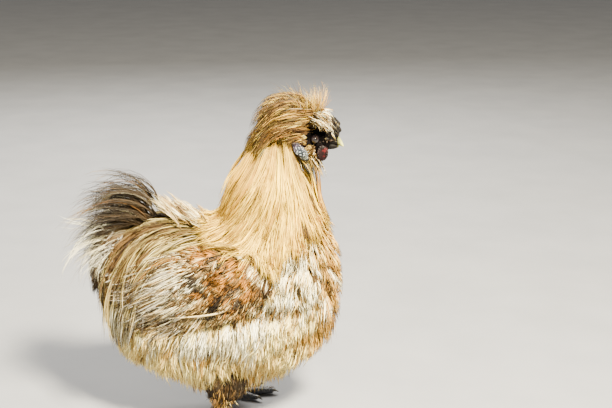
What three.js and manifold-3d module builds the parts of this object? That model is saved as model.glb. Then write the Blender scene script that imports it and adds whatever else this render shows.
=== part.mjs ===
// Silkie cock, standing, at life size.
// Millimetres, +Z up, beak towards +X, the bird's left towards +Y, origin on the floor under its middle.
import * as THREE from "three";
import { mergeVertices } from "three/addons/utils/BufferGeometryUtils.js";
import Module from "manifold-3d";

const wasm = await Module();
wasm.setup();

// Clearance between neighbouring parts.
const GAP = 0.5;
// Depth from the tips of the coat down to the solid core that the locks grow from.
const COAT_DEPTH = 13;

// Torso: the outline of the coat, as egg shapes that melt into one another.
const TORSO = {
  belly: { at: [14, 0, 122], radii: [98, 76, 94] },
  breast: { at: [92, 0, 150], radii: [59, 62, 62] },
  keel: { at: [82, 0, 112], radii: [58, 60, 66] },
  throat: { at: [100, 0, 196], radii: [43, 42, 46] },
  saddle: { at: [-36, 0, 156], radii: [80, 66, 68] },
  fluff: { at: [-34, 0, 106], radii: [62, 62, 64] },
  melt: 18,
  axis: [[-30, 0, 135], [80, 0, 135]],
};

// Neck: a cone of hackle from the shoulders to the nape, narrower across than from front to back.
const NECK = {
  line: [[68, 0, 182], [75, 0, 245], [79, 0, 287], [81, 0, 306]],
  coat: [62, 51, 38, 26],
  bones: [[68, 0, 182], [76, 0, 245], [84, 0, 285], [95, 0, 306]],
  core: [44, 33, 24, 15],
  squash: 0.82,
  axis: [[70, 0, 190], [84, 0, 290]],
};

// Head: skull, cheeks and the root of the bill, with the knob that carries the crest.
const HEAD = {
  skull: { at: [108, 0, 309], radii: [21, 15.5, 17], tilt: -6 },
  cheeks: { at: [113, 0, 298], radii: [17, 13, 12.5], tilt: -14 },
  muzzle: { at: [127, 0, 302], radii: [12, 8.5, 10.5], tilt: -12 },
  melt: 5,
  axis: [[98, 0, 308], [116, 0, 306]],
};
const CREST = {
  knob: { at: [101, 0, 325], radii: [26, 17, 17], tilt: 16 },
  coat: { at: [98, 0, 333], radii: [42, 26, 25], tilt: 16 },
  axis: [[92, 0, 324], [112, 0, 328]],
};

const EYE = { at: [121.5, 13.2, 307], radius: 4.5 };
const LID = { radius: 4.9, thick: 1.1 };
const COMB = { at: [138, 0, 315.5], radii: [11, 12, 13.5], tilt: 8, bulbs: 9, bulb: 5.5 };
const BILL = {
  upper: {
    line: [[130, 0, 304], [141, 0, 304.5], [148, 0, 301.5], [152, 0, 296.5]],
    radii: [7.5, 6, 3.6, 0.9],
  },
  lower: {
    line: [[130, 0, 297.5], [140, 0, 297], [147, 0, 296.2]],
    radii: [5, 3.6, 1.4],
  },
  nostril: { at: [144, 4.6, 303.4], radii: [2.8, 1.7, 0.8], tilt: -14 },
  squash: 0.86,
};
// The corner of the mouth runs back from the bill as a thin slit in the face.
const MOUTH = { at: [131, 0, 300.4], radii: [9, 11, 0.7], tilt: -4 };
// Each wattle is three leaves that fold out from its front edge.
const WATTLE = { at: [129, 7, 290.5], leaf: [7.6, 2.2, 9.5], folds: [-30, 0, 30] };
const LOBE = { at: [106.5, 13.5, 294.5], radii: [14, 3.2, 6], tilt: -51 };

// Wing and tail: the depth is how far the wing's solid core lies under its coverts.
const WING = {
  at: [10, 58, 163],
  radii: [68, 23, 36],
  tilt: 10,
  axis: [[-20, 58, 158], [40, 58, 168]],
  depth: 6,
};
const TAIL = {
  at: [-84, 0, 188],
  radii: [34, 27, 30],
  tilt: -38,
  axis: [[-96, 0, 196], [-72, 0, 180]],
  tiers: [3, 4, 4, 5, 4],
  longest: 103,
};

// Legs: thigh, shank, and a foot with five toes, which is one more than most fowl have.
const LEG = {
  thigh: { at: [25, 36, 54], radii: [25, 19, 31], tilt: 10 },
  shank: { line: [[22, 36, 34], [26, 36, 10]], radii: [8.5, 6.5] },
  ankle: [26, 36, 8],
  pad: 8,
};
// The heading of each toe is from straight ahead, positive away from the midline.
const TOES = [
  { name: "inner", heading: -27, length: 34, thick: 4.4, rise: 0 },
  { name: "middle", heading: 3, length: 47, thick: 4.8, rise: 0 },
  { name: "outer", heading: 33, length: 38, thick: 4.4, rise: 0 },
  { name: "hind", heading: 176, length: 20, thick: 4, rise: 0 },
  { name: "fifth", heading: -146, length: 22, thick: 3.6, rise: 30 },
];
const CLAW = { length: 9, radius: 2.1 };
// Small feathers down the outside of each leg: on the shank the height and heading of each, and on the
// outer toe its place along the toe.
const LEG_VANES = {
  width: 7,
  thick: 1.4,
  length: 19,
  shank: [[30, 60], [27, 100], [23, 140]],
  toe: [0.3, 0.58, 0.86],
};

// Locks of each kind: length, width and thickness, how far their tips stand out of the coat's outline, and
// how early they rise to it.
const LOCKS = {
  fluff: { length: 58, width: 30, thick: 2.8, tip: 0.5, rise: 1.6 },
  saddle: { length: 84, width: 21, thick: 2.2, tip: 4, rise: 1.8 },
  hackle: { length: 92, width: 17.5, thick: 2.2, tip: 4, rise: 2.6 },
  crest: { length: 60, width: 15, thick: 2, tip: 1, rise: 2.2 },
  forelock: { length: 24, width: 9, thick: 1.6, tip: 2, rise: 1.6 },
  covert: { length: 44, width: 17, thick: 1.6, tip: 1, rise: 1.6 },
  flight: { length: 86, width: 15, thick: 1.4, tip: 4, rise: 1.6 },
  down: { length: 26, width: 15, thick: 1.8, tip: 3, rise: 1.6 },
};
// How far inside its core a lock starts.
const ROOT = 4;

const group = new THREE.Group();
const rad = THREE.MathUtils.degToRad;
const point = (p) => new THREE.Vector3(...p);
const mirrored = ([x, y, z], side) => [x, y * side, z];
const alike = (radius) => [radius, radius, radius];

// Distance to an egg shape, roughly in millimetres and negative inside. A positive tilt lifts its front end.
function egg({ at, radii, tilt = 0 }) {
  const [c, s] = [Math.cos(rad(tilt)), Math.sin(rad(tilt))];
  const [a, b, h] = radii;
  return (p) => {
    const [dx, y, dz] = [p.x - at[0], p.y - at[1], p.z - at[2]];
    const [x, z] = [c * dx + s * dz, c * dz - s * dx];
    const ratio = Math.hypot(x / a, y / b, z / h);
    const slope = Math.hypot(x / (a * a), y / (b * b), z / (h * h));
    return slope < 1e-9 ? -Math.min(a, b, h) : (ratio * (ratio - 1)) / slope;
  };
}

// Distance to a round form that follows a line of points with a radius at each. Squash narrows it across.
function tube(line, radii, squash = 1) {
  const flat = line.map(([x, y, z]) => new THREE.Vector3(x, y / squash, z));
  return (p) => {
    const q = new THREE.Vector3(p.x, p.y / squash, p.z);
    let nearest = Infinity;
    for (let i = 0; i + 1 < flat.length; i++) {
      const along = flat[i + 1].clone().sub(flat[i]);
      const from = q.clone().sub(flat[i]);
      const t = THREE.MathUtils.clamp(from.dot(along) / along.lengthSq(), 0, 1);
      const radius = THREE.MathUtils.lerp(radii[i], radii[i + 1], t);
      nearest = Math.min(nearest, from.addScaledVector(along, -t).length() - radius);
    }
    return nearest;
  };
}

// Several forms melted together over a depth of k.
function melt(fields, k) {
  return (p) =>
    fields.map((f) => f(p)).reduce((a, b) => {
      const h = Math.max(k - Math.abs(a - b), 0) / k;
      return Math.min(a, b) - (h * h * k) / 4;
    });
}

const grown = (field, by) => (p) => field(p) - by;

// Where a ray from inside a form leaves it.
function edge(field, from, direction) {
  let near = 0;
  let far = 4;
  while (field(from.clone().addScaledVector(direction, far)) < 0) far += 4;
  for (let i = 0; i < 24; i++) {
    const middle = (near + far) / 2;
    if (field(from.clone().addScaledVector(direction, middle)) < 0) near = middle;
    else far = middle;
  }
  return from.clone().addScaledVector(direction, far);
}

// A closed skin round a form: rays fan out from the two ends of an axis and from the line between them.
function wrap(field, [start, end], rings, sides) {
  const [a, b] = [point(start), point(end)];
  const axis = b.clone().sub(a);
  const length = axis.length();
  axis.normalize();
  const up = new THREE.Vector3(0, 0, 1).addScaledVector(axis, -axis.z).normalize();
  if (up.lengthSq() < 0.5) up.set(1, 0, 0);
  const across = axis.clone().cross(up);
  const girth = edge(field, a, up).distanceTo(a);
  const quarter = (girth * Math.PI) / 2;
  const positions = [...edge(field, a, axis.clone().negate())];
  for (let i = 1; i < rings; i++) {
    const s = (i / rings) * (length + 2 * quarter) - quarter;
    const lean = THREE.MathUtils.clamp(s < 0 ? s : s - length, -quarter, quarter) / girth;
    const tilt = s < 0 || s > length ? lean : 0;
    const from = a.clone().addScaledVector(axis, THREE.MathUtils.clamp(s, 0, length));
    for (let j = 0; j < sides; j++) {
      const turn = ((j + (i % 2) / 2) / sides) * 2 * Math.PI;
      const ray = up.clone().multiplyScalar(Math.cos(turn)).addScaledVector(across, Math.sin(turn));
      ray.multiplyScalar(Math.cos(tilt)).addScaledVector(axis, Math.sin(tilt));
      positions.push(...edge(field, from, ray));
    }
  }
  positions.push(...edge(field, b, axis));
  const at = (i, j) => 1 + (i - 1) * sides + (((j % sides) + sides) % sides);
  const last = 1 + (rings - 1) * sides;
  const faces = [];
  for (let j = 0; j < sides; j++) {
    faces.push(0, at(1, j), at(1, j + 1), last, at(rings - 1, j + 1), at(rings - 1, j));
    for (let i = 1; i + 1 < rings; i++) {
      const [here, next] = [at(i, j), at(i, j + 1)];
      const [above, beyond] = [at(i + 1, j), at(i + 1, j + 1)];
      if (i % 2) faces.push(here, beyond, next, here, above, beyond);
      else faces.push(here, above, next, next, above, beyond);
    }
  }
  return closed(positions, faces);
}

function closed(positions, faces) {
  const geometry = new THREE.BufferGeometry();
  geometry.setAttribute("position", new THREE.Float32BufferAttribute(positions, 3));
  geometry.setIndex(faces);
  return geometry;
}

// A closed geometry as a solid that can be joined and cut, turned right way out if need be.
function solid(geometry, nearest = 1e-4) {
  const bare = new THREE.BufferGeometry();
  bare.setAttribute("position", geometry.getAttribute("position"));
  if (geometry.index) bare.setIndex(geometry.index);
  const merged = mergeVertices(bare, nearest);
  const triVerts = new Uint32Array(merged.index.array);
  const vertProperties = merged.attributes.position.array;
  const made = new wasm.Manifold(new wasm.Mesh({ numProp: 3, vertProperties, triVerts }));
  if (made.volume() > 0) return made;
  return new wasm.Manifold(new wasm.Mesh({ numProp: 3, vertProperties, triVerts: triVerts.reverse() }));
}

const join = (solids) => wasm.Manifold.union(solids);

function drawn(made) {
  const { numProp, vertProperties, triVerts } = made.getMesh();
  const positions = [];
  for (let i = 0; i < vertProperties.length; i += numProp) {
    positions.push(...vertProperties.slice(i, i + 3));
  }
  return closed(positions, [...triVerts]);
}

// The one largest closed surface of a solid, with slivers smoothed away and near points made one.
function largest(made) {
  const biggest = (whole) => whole.decompose().sort((a, b) => b.volume() - a.volume())[0];
  let kept = biggest(made.simplify(0.2));
  for (let i = 0; i < 2; i++) kept = biggest(solid(drawn(kept), 2e-3).simplify(0.01));
  return kept;
}

function add(name, made, color, roughness = 0.8) {
  const geometry = drawn(largest(made));
  geometry.computeVertexNormals();
  const mesh = new THREE.Mesh(geometry, new THREE.MeshStandardMaterial({ color, roughness, metalness: 0 }));
  mesh.name = name;
  group.add(mesh);
}

const COLOURS = {
  cream: "#d9c08a",
  hackle: "#d8b468",
  rust: "#a9713f",
  ash: "#8d8a80",
  white: "#e2d8c2",
  mulberry: "#2b2226",
  comb: "#4a4046",
  wattle: "#6d1f28",
  lobe: "#7f97a6",
  horn: "#b9b07a",
  eye: "#1a120c",
  scale: "#3e434a",
};

const { belly, breast, keel, throat, saddle, fluff } = TORSO;
const torsoCoat = melt([belly, breast, keel, throat, saddle, fluff].map(egg), TORSO.melt);
const torsoCore = grown(torsoCoat, -COAT_DEPTH);
const wingCoat = (side) => egg({ ...WING, at: mirrored(WING.at, side) });
const flanks = melt([torsoCoat, wingCoat(1), wingCoat(-1)], 14);
const neckCoat = tube(NECK.line, NECK.coat, NECK.squash);
const neckCore = tube(NECK.bones, NECK.core, NECK.squash);
const mantle = melt([neckCoat, flanks], 16);
const headCore = melt([egg(HEAD.skull), egg(HEAD.cheeks), egg(HEAD.muzzle)], HEAD.melt);
const crestCore = egg(CREST.knob);
const crown = melt([egg(CREST.coat), neckCoat], 12);

// A draw of chance that gives the same numbers on every run.
function chance(seed) {
  let state = seed;
  return (low, high) => {
    state = (state * 16807) % 2147483647;
    return low + ((high - low) * state) / 2147483647;
  };
}

// Which way is out of a form.
function outward(field, p) {
  const slope = (way) => field(p.clone().add(way)) - field(p.clone().sub(way));
  const slopes = [[0.5, 0, 0], [0, 0.5, 0], [0, 0, 0.5]].map((step) => slope(point(step)));
  return point(slopes).normalize();
}

// The point near p that lies at a height over a form.
function settle(field, p, height) {
  const q = p.clone();
  for (let i = 0; i < 3; i++) q.addScaledVector(outward(field, q), height - field(q));
  return q;
}

const STATIONS = 3;
const ARCH_STATIONS = 5;
// Width and thickness of a lock from its root to its tip, as a share of the largest.
const breadth = (t) => Math.min(0.7 + 1.4 * t, 1, 1.9 * (1 - t) + 0.22);

// The stations of a lock that runs over a form along its lie, from inside its core to its tip.
function run(field, start, lie, { length, tip, rise }) {
  const stations = [];
  const root = field(start) - ROOT;
  let p = settle(field, start, root);
  for (let i = 0; i <= STATIONS; i++) {
    const out = outward(field, p);
    const way = lie(p).addScaledVector(out, -lie(p).dot(out)).normalize();
    stations.push({ at: p, out, way });
    const risen = 1 - Math.max(0, 1 - (i + 1) / STATIONS) ** rise;
    p = settle(field, p.clone().addScaledVector(way, length / STATIONS), root + (tip - root) * risen);
  }
  return stations;
}

// The stations of a feather that arches freely: it leaves its root at one slope and ends at another, in an
// upright plane turned aside by its fan, with its flat face rolled about its own length.
function arch(start, [from, to], fan, length, roll, curl = 1.1) {
  const stations = [];
  const p = point(start);
  const aside = Math.sin(rad(fan));
  for (let i = 0; i <= ARCH_STATIONS; i++) {
    const slope = rad(from + (to - from) * (i / ARCH_STATIONS) ** curl);
    const way = new THREE.Vector3(Math.cos(slope), aside, Math.sin(slope)).normalize();
    const out = new THREE.Vector3(Math.sin(slope), 0, -Math.cos(slope));
    out.addScaledVector(way, -out.dot(way)).normalize().applyAxisAngle(way, rad(roll));
    stations.push({ at: p.clone(), out, way });
    p.addScaledVector(way, length / ARCH_STATIONS);
  }
  return stations;
}

// A lock of one kind over a form, as a path that can be drawn shorter where something is in its way.
const over = (field, place, lie, kind) => ({
  kind,
  path: (share) => run(field, place, lie, { ...kind, length: kind.length * share }),
});
const free = (start, slopes, fan, length, kind, roll = 0) => ({
  kind,
  path: (share) => arch(start, slopes, fan, length * share, roll),
});

// A flat tapered lock along its stations: three-sided, with its ridge outwards, ending in a point.
function lock(stations, { width, thick }, gap = 0) {
  const positions = [];
  const tip = stations.length - 1;
  for (let i = 0; i < tip; i++) {
    const { at, out, way } = stations[i];
    const across = out.clone().cross(way).normalize();
    const share = breadth(i / tip);
    const half = (width * share) / 2;
    const droop = half * 0.18 + gap;
    const low = at.clone().addScaledVector(out, -droop).addScaledVector(way, i ? 0 : -2 * gap);
    positions.push(...low.clone().addScaledVector(across, half + 2 * gap));
    positions.push(...low.clone().addScaledVector(across, -half - 2 * gap));
    positions.push(...low.clone().addScaledVector(out, droop + thick * share + 2 * gap));
  }
  positions.push(...stations[tip].at.clone().addScaledVector(stations[tip].way, 2 * gap));
  const faces = [0, 2, 1];
  for (let i = 0; i < tip; i++) {
    const ring = 3 * i;
    for (let j = 0; j < 3; j++) {
      const k = (j + 1) % 3;
      if (i === tip - 1) faces.push(ring + j, ring + k, ring + 3);
      else faces.push(ring + j, ring + k, ring + 3 + k, ring + j, ring + 3 + k, ring + 3 + j);
    }
  }
  return solid(closed(positions, faces));
}

// Points round a form where a plane cuts it, a spacing apart, between two angles about the plane's centre.
function row(field, centre, [east, north], [from, to], spacing, shift = 0) {
  const ray = (degrees) => {
    const [c, s] = [Math.cos(rad(degrees)), Math.sin(rad(degrees))];
    const way = point(east).multiplyScalar(c).addScaledVector(point(north), s);
    return edge(field, point(centre), way);
  };
  const places = [];
  let travelled = spacing * shift;
  let before = ray(from);
  for (let degrees = from; degrees <= to; degrees += 1) {
    const now = ray(degrees);
    travelled += now.distanceTo(before);
    if (travelled >= spacing / 2) {
      places.push(now);
      travelled -= spacing;
    }
    before = now;
  }
  return places;
}

const FLAT = [[1, 0, 0], [0, 1, 0]];
const UPRIGHT = [[0, 0, 1], [0, 1, 0]];
const varied = (kind, draw, spread = 0.12) => ({
  ...kind,
  length: kind.length * draw(1 - spread, 1 + spread),
  width: kind.width * draw(1 - spread, 1 + spread),
  tip: kind.tip + draw(-1.5, 1.5),
});

// A plain ball or flattened ball, at a level of roundness.
function ball({ at, radii, tilt = 0 }, detail = 2) {
  const geometry = new THREE.IcosahedronGeometry(1, detail).scale(...radii);
  return solid(geometry.rotateY(rad(-tilt)).translate(...at));
}

// A round rod that follows a line of points with a radius at each and is closed by domes.
function rod(line, radii, { squash = 1, sides = 10, steps = 8 } = {}) {
  const curve = new THREE.CatmullRomCurve3(line.map(point));
  const size = (t) => {
    const at = t * (radii.length - 1);
    const i = Math.min(Math.floor(at), radii.length - 2);
    return THREE.MathUtils.lerp(radii[i], radii[i + 1], at - i);
  };
  const rings = [];
  const ring = (t, out, share) => {
    const along = curve.getTangent(t);
    const centre = curve.getPoint(t).addScaledVector(along, out * size(t));
    rings.push({ centre, along, radius: share * size(t) });
  };
  ring(0, -0.7, 0.7);
  for (let i = 0; i <= steps; i++) ring(i / steps, 0, 1);
  ring(1, 0.7, 0.7);
  const positions = [];
  const across = new THREE.Vector3(0, 1, 0);
  if (Math.abs(rings[1].along.y) > 0.7) across.set(1, 0, 0);
  for (const { centre, along, radius } of rings) {
    const side = across.clone().addScaledVector(along, -along.dot(across)).normalize();
    const up = along.clone().cross(side);
    for (let j = 0; j < sides; j++) {
      const turn = (j / sides) * 2 * Math.PI;
      positions.push(...centre.clone()
        .addScaledVector(side, Math.cos(turn) * radius * squash)
        .addScaledVector(up, Math.sin(turn) * radius));
    }
  }
  const first = positions.length / 3;
  positions.push(...curve.getPoint(0).addScaledVector(rings[0].along, -size(0)));
  positions.push(...curve.getPoint(1).addScaledVector(rings.at(-1).along, size(1)));
  const faces = [];
  const last = (rings.length - 1) * sides;
  for (let j = 0; j < sides; j++) {
    const k = (j + 1) % sides;
    faces.push(first, k, j, first + 1, last + j, last + k);
    for (let i = 0; i < last; i += sides) {
      const next = i + sides;
      faces.push(i + j, i + k, next + k, i + j, next + k, next + j);
    }
  }
  return solid(closed(positions, faces));
}

const sides = [["left", 1], ["right", -1]];
const onSide = (form, side) => ({ ...form, at: mirrored(form.at, side) });

// The breast and belly: rows of soft locks that hang down and a little back, one row over the next.
function fluffLocks() {
  const draw = chance(11);
  const made = [];
  const heights = [226, 201, 175, 148, 121, 94, 68, 46];
  const reaches = [52, 96, 120, 180, 180, 180, 180, 180];
  const lie = (p) => new THREE.Vector3(p.x < -60 ? -0.5 : -0.22, 0, -1);
  heights.forEach((z, i) => {
    const centre = [z > 190 ? 95 : 15, 0, z];
    const spacing = LOCKS.fluff.width * 1.15;
    for (const place of row(torsoCore, centre, FLAT, [-reaches[i], reaches[i]], spacing, (i % 2) / 2)) {
      const behindWing = Math.abs(place.y) > 38 && place.x < 66 && place.x > -70 && z > 140;
      const underSaddle = place.x < -20 && z > 140;
      if (behindWing || underSaddle) continue;
      const kind = varied(LOCKS.fluff, draw);
      if (z < 60) {
        kind.tip += 2;
        kind.length *= z / 75;
      }
      made.push(over(torsoCoat, place, lie, kind));
    }
  });
  return made;
}

// The saddle: long narrow hackles that flow back over the rump and hang down its sides.
function saddleLocks() {
  const draw = chance(23);
  const made = [];
  [10, -16, -42, -68].forEach((x, i) => {
    const spread = [38, 66, 80, 84][i];
    const spacing = LOCKS.saddle.width * 1.1;
    for (const place of row(torsoCore, [x, 0, 150], UPRIGHT, [-spread, spread], spacing, (i % 2) / 2)) {
      const kind = varied(LOCKS.saddle, draw);
      const side = Math.sign(place.y);
      const steep = Math.min(1.3, 0.35 + Math.abs(place.y) / 60);
      const lie = () => new THREE.Vector3(-1, 0.25 * side, -steep);
      made.push(over(flanks, place, lie, kind));
    }
  });
  for (let i = 0; i < 6; i++) {
    const kind = { width: draw(10, 13), thick: 2 };
    const start = [-2 - 4 * i, (i % 3 - 1) * 10, 209];
    made.push(free(start, [116 + draw(-8, 8), 156], (i % 3 - 1) * 12, draw(44, 54), kind));
  }
  return made;
}

// The neck: rows of long pointed hackles that fall in a cape over the shoulders.
function hackleLocks() {
  const draw = chance(37);
  const made = [];
  [300, 280, 258, 235, 212].forEach((z, i) => {
    const along = (z - 182) / 124;
    const centre = [68 + 28 * along, 0, z];
    const spacing = LOCKS.hackle.width * (1.12 - 0.24 * along);
    for (const place of row(neckCore, centre, FLAT, [-180, 179], spacing, (i % 2) / 2)) {
      const facing = (place.x - centre[0]) / Math.hypot(place.x - centre[0], place.y);
      const hem = 172 + (facing > 0 ? 52 : 44) * facing ** 2;
      if (z - hem < 16) continue;
      const kind = varied(LOCKS.hackle, draw);
      kind.width *= 1 - 0.26 * along;
      kind.length = Math.min(kind.length, 1.08 * (z - hem) + 14);
      const lie = (p) => new THREE.Vector3(p.x < 60 ? -0.5 : 0.05, 0, -1);
      made.push(over(mantle, place, lie, kind));
    }
  });
  return made;
}

// The crest: locks swept back from the forehead over the nape, with loose wisps that stand at the front.
function crestLocks() {
  const draw = chance(51);
  const made = [];
  [[122, 84], [105, 104], [87, 108]].forEach(([x, spread], i) => {
    const centre = [x, 0, 322];
    const spacing = LOCKS.crest.width * 1.06;
    for (const place of row(crestCore, centre, UPRIGHT, [-spread, spread], spacing, (i % 2) / 2)) {
      const kind = varied(LOCKS.crest, draw);
      const side = Math.sign(place.y);
      const low = Math.max(0, 326 - place.z) / 12;
      const lie = (p) => new THREE.Vector3(-1, 0.12 * side, 0.15 - low - Math.max(0, 85 - p.x) / 30);
      made.push(over(crown, place, lie, kind));
    }
  });
  const forward = (p) => new THREE.Vector3(1, p.y / 20, -0.9);
  for (const place of row(crestCore, [112, 0, 326], UPRIGHT, [-96, 96], LOCKS.forelock.width * 1.5)) {
    const kind = varied(LOCKS.forelock, draw);
    made.push(over(egg(CREST.coat), place, forward, kind));
  }
  for (let i = 0; i < 9; i++) {
    const y = (((i * 4) % 9) - 4) * 2.2;
    const back = Math.floor(i / 3) * 8;
    const kind = { width: draw(11, 14), thick: 1.6 };
    const slopes = [46 + 3 * back + draw(-8, 8), 92 + 3 * back + draw(-10, 10)];
    made.push(free([122 - back, y, 334], slopes, y * 2.4, draw(30, 38), kind, draw(-65, 65)));
  }
  return made;
}

// A wing: short coverts in rows over the shoulder and long shredded flight feathers behind them.
function wingLocks(side) {
  const draw = chance(67);
  const made = [];
  const core = grown(wingCoat(side), -WING.depth);
  const round = [[0, 0, 1], [0, side, 0]];
  const lie = (p) => new THREE.Vector3(-1, 0, -0.42 - Math.max(0, p.x) / 160);
  [65, 50, 31, 12, -8, -30].forEach((x, i) => {
    const centre = [x, WING.at[1] * side, WING.at[2] + (x - WING.at[0]) * 0.17];
    const form = x > 0 ? LOCKS.covert : LOCKS.flight;
    for (const place of row(core, centre, round, [12, 168], form.width * 1.1, (i % 2) / 2)) {
      const kind = varied(form, draw);
      if (x > 60 || x < -20) kind.length *= 0.82;
      made.push(over(flanks, place, lie, kind));
    }
  });
  return made;
}

// The tail: shredded feathers that rise from the rump and arch back and down, in tiers from the middle out.
function tailLocks() {
  const draw = chance(83);
  const made = [];
  TAIL.tiers.forEach((count, tier) => {
    for (let i = 0; i < count; i++) {
      const fan = ((i + 0.5) / count - 0.5) * 2;
      const start = [-65 - 4.5 * tier, fan * (11 + 2 * tier), 209 - 9 * tier - Math.abs(fan) * 5];
      const from = 66 + 20 * tier + Math.abs(fan) * 8 + draw(-4, 4);
      const slopes = [from, Math.min(258, from + 150 + draw(-10, 10))];
      const kind = { width: draw(11, 14), thick: 1.8 };
      const roll = -(fan < 0 ? -1 : 1) * (40 + 25 * Math.abs(fan));
      const length = (TAIL.longest - 6 * tier) * draw(0.92, 1.06);
      made.push(free(start, slopes, fan * 30, length, kind, roll));
    }
  });
  const lie = (p) => new THREE.Vector3(-1, p.y / 60, p.z > 190 ? 0.5 : -0.6);
  for (const [x, shift] of [[-76, 0], [-90, 0.5]]) {
    for (const place of row(egg(TAIL), [x, 0, 192], UPRIGHT, [-140, 140], LOCKS.down.width * 1.7, shift)) {
      const kind = varied(LOCKS.down, draw);
      made.push(over(egg(TAIL), place, lie, kind));
    }
  }
  return made;
}

// The thighs: short locks that hang to the shank.
function thighLocks(side) {
  const draw = chance(97);
  const made = [];
  const form = egg({ ...LEG.thigh, at: mirrored(LEG.thigh.at, side) });
  const lie = () => new THREE.Vector3(-0.15, 0, -1);
  const centre = mirrored(LEG.thigh.at, side);
  for (const place of row(form, centre, [[1, 0, 0], [0, side, 0]], [-180, 179], LOCKS.down.width * 1.7)) {
    made.push(over(form, place, lie, varied(LOCKS.down, draw)));
  }
  return made;
}

// Locks as solids at their full length.
const grow = (locks, gap = 0) => locks.map(({ path, kind }) => lock(path(1), kind, gap));

// Locks that stop short of what stands in their way, or that are left out where they have no room.
function fitted(locks, obstacle) {
  return locks.flatMap(({ path, kind }) => {
    for (const share of [1, 0.85, 0.7, 0.55]) {
      const made = lock(path(share), kind);
      if (made.intersect(obstacle).isEmpty()) return [{ path: () => path(share), kind }];
    }
    return [];
  });
}

const torsoCoreSolid = (gap = 0) => solid(wrap(grown(torsoCore, gap), TORSO.axis, 16, 14));
const neckCoreSolid = (gap = 0) => solid(wrap(grown(neckCore, gap), NECK.axis, 10, 12));
const head = (gap = 0) => solid(wrap(grown(headCore, gap), HEAD.axis, 16, 16));
const crestCoreSolid = (gap = 0) => solid(wrap(grown(crestCore, gap), CREST.axis, 8, 12));
function wingCoreSolid(side, gap = 0) {
  const axis = WING.axis.map((p) => mirrored(p, side));
  return solid(wrap(grown(wingCoat(side), gap - WING.depth), axis, 10, 10));
}
const tailCoreSolid = (gap = 0) => solid(wrap(grown(egg(TAIL), gap), TAIL.axis, 8, 10));
function thighCoreSolid(side, gap = 0) {
  const { at, radii, tilt } = LEG.thigh;
  return ball({ at: mirrored(at, side), radii: radii.map((r) => r + gap), tilt }, 1);
}

// The parts that stand over others come first, and each next one's locks are fitted round them.
const headCut = head(GAP);
const crestParts = fitted(crestLocks(), comb(GAP));
const crestCut = join([crestCoreSolid(GAP), ...grow(crestParts, GAP)]);
const crest = join([crestCoreSolid(), ...grow(crestParts)]).subtract(headCut);

const torsoCut = torsoCoreSolid(GAP);
const faceCut = headCut.add(crestCut);
const hackle = fitted(hackleLocks(), faceCut);
const neckCut = join([neckCoreSolid(GAP), ...grow(hackle, GAP)]);
const neck = join([neckCoreSolid(), ...grow(hackle)]).subtract(torsoCut).subtract(faceCut);

const wings = sides.map(([, side]) => {
  const parts = fitted(wingLocks(side), neckCut);
  const cut = join([wingCoreSolid(side, GAP), ...grow(parts, GAP)]);
  return { cut, made: join([wingCoreSolid(side), ...grow(parts)]).subtract(torsoCut).subtract(neckCut) };
});

const plumes = tailLocks();
const tailCut = join([tailCoreSolid(GAP), ...grow(plumes, GAP)]);
const tail = join([tailCoreSolid(), ...grow(plumes)]).subtract(torsoCut);

const thighs = sides.map(([, side]) => {
  const parts = thighLocks(side);
  const cut = join([thighCoreSolid(side, GAP), ...grow(parts, GAP)]);
  return { cut, made: join([thighCoreSolid(side), ...grow(parts)]) };
});

const thighCut = join(thighs.map(({ cut }) => cut));
const around = join([neckCut, tailCut, thighCut, ...wings.map(({ cut }) => cut)]);
const coat = fitted([...fluffLocks(), ...saddleLocks()], around);
add("torso", join([torsoCoreSolid().subtract(thighCut), ...grow(coat)]), COLOURS.cream);
add("neck", neck, COLOURS.hackle);
add("crest", crest, COLOURS.cream);
add("tail", tail, COLOURS.ash);

// Comb: a cushion covered in small round bulbs, spread evenly over its front and top.
function comb(gap = 0) {
  const { at, radii, tilt } = COMB;
  const bulbs = [ball({ at, radii: radii.map((r) => r + gap), tilt }, 1)];
  for (let i = 0; i < COMB.bulbs; i++) {
    const height = 1 - (1.7 * (i + 0.5)) / COMB.bulbs;
    const turn = i * 2.4;
    const reach = Math.sqrt(1 - height * height);
    const [x, y, z] = [Math.abs(Math.cos(turn)) * reach, Math.sin(turn) * reach, height];
    const radius = COMB.bulb * (1 + 0.16 * Math.sin(7 * i)) + gap;
    const centre = [x, y, z].map((share, k) => at[k] + share * radii[k] * 0.82);
    bulbs.push(ball({ at: centre, radii: alike(radius) }, 1));
  }
  return join(bulbs);
}

// Each eye stands in a socket between two lids.
function lidded(made, side) {
  const at = mirrored(EYE.at, side);
  const lid = new THREE.TorusGeometry(LID.radius, LID.thick, 5, 12).rotateX(Math.PI / 2);
  const lids = solid(lid.rotateX(rad(-14 * side)).rotateZ(rad(-16 * side)).translate(...at));
  return made.add(lids).subtract(ball({ at, radii: alike(EYE.radius + GAP) }, 1));
}

const face = head().subtract(ball(MOUTH, 1));
add("head", sides.reduce((made, [, side]) => lidded(made, side), face), COLOURS.mulberry);
const billAt = (part, gap = 0) =>
  rod(BILL[part].line, BILL[part].radii.map((r) => r + gap), { squash: BILL.squash });
const nostrils = join(sides.map(([, side]) => ball(onSide(BILL.nostril, side), 0)));
add("beak_upper", billAt("upper").subtract(headCut).subtract(nostrils), COLOURS.horn, 0.4);
add("beak_lower", billAt("lower").subtract(billAt("upper", GAP)).subtract(headCut), COLOURS.horn, 0.4);
const besideComb = join([headCut, crestCoreSolid(GAP), billAt("upper", GAP)]);
add("comb", comb().subtract(besideComb), COLOURS.comb, 0.6);

function wattle(side) {
  const { at, leaf, folds } = WATTLE;
  return join(folds.map((turn) => {
    const geometry = new THREE.IcosahedronGeometry(1, 1).scale(...leaf).translate(-leaf[0] * 0.6, 0, 0);
    geometry.rotateZ(rad(turn * side)).translate(leaf[0] * 0.6, 0, 0);
    return solid(geometry.translate(...mirrored(at, side)));
  }));
}

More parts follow.
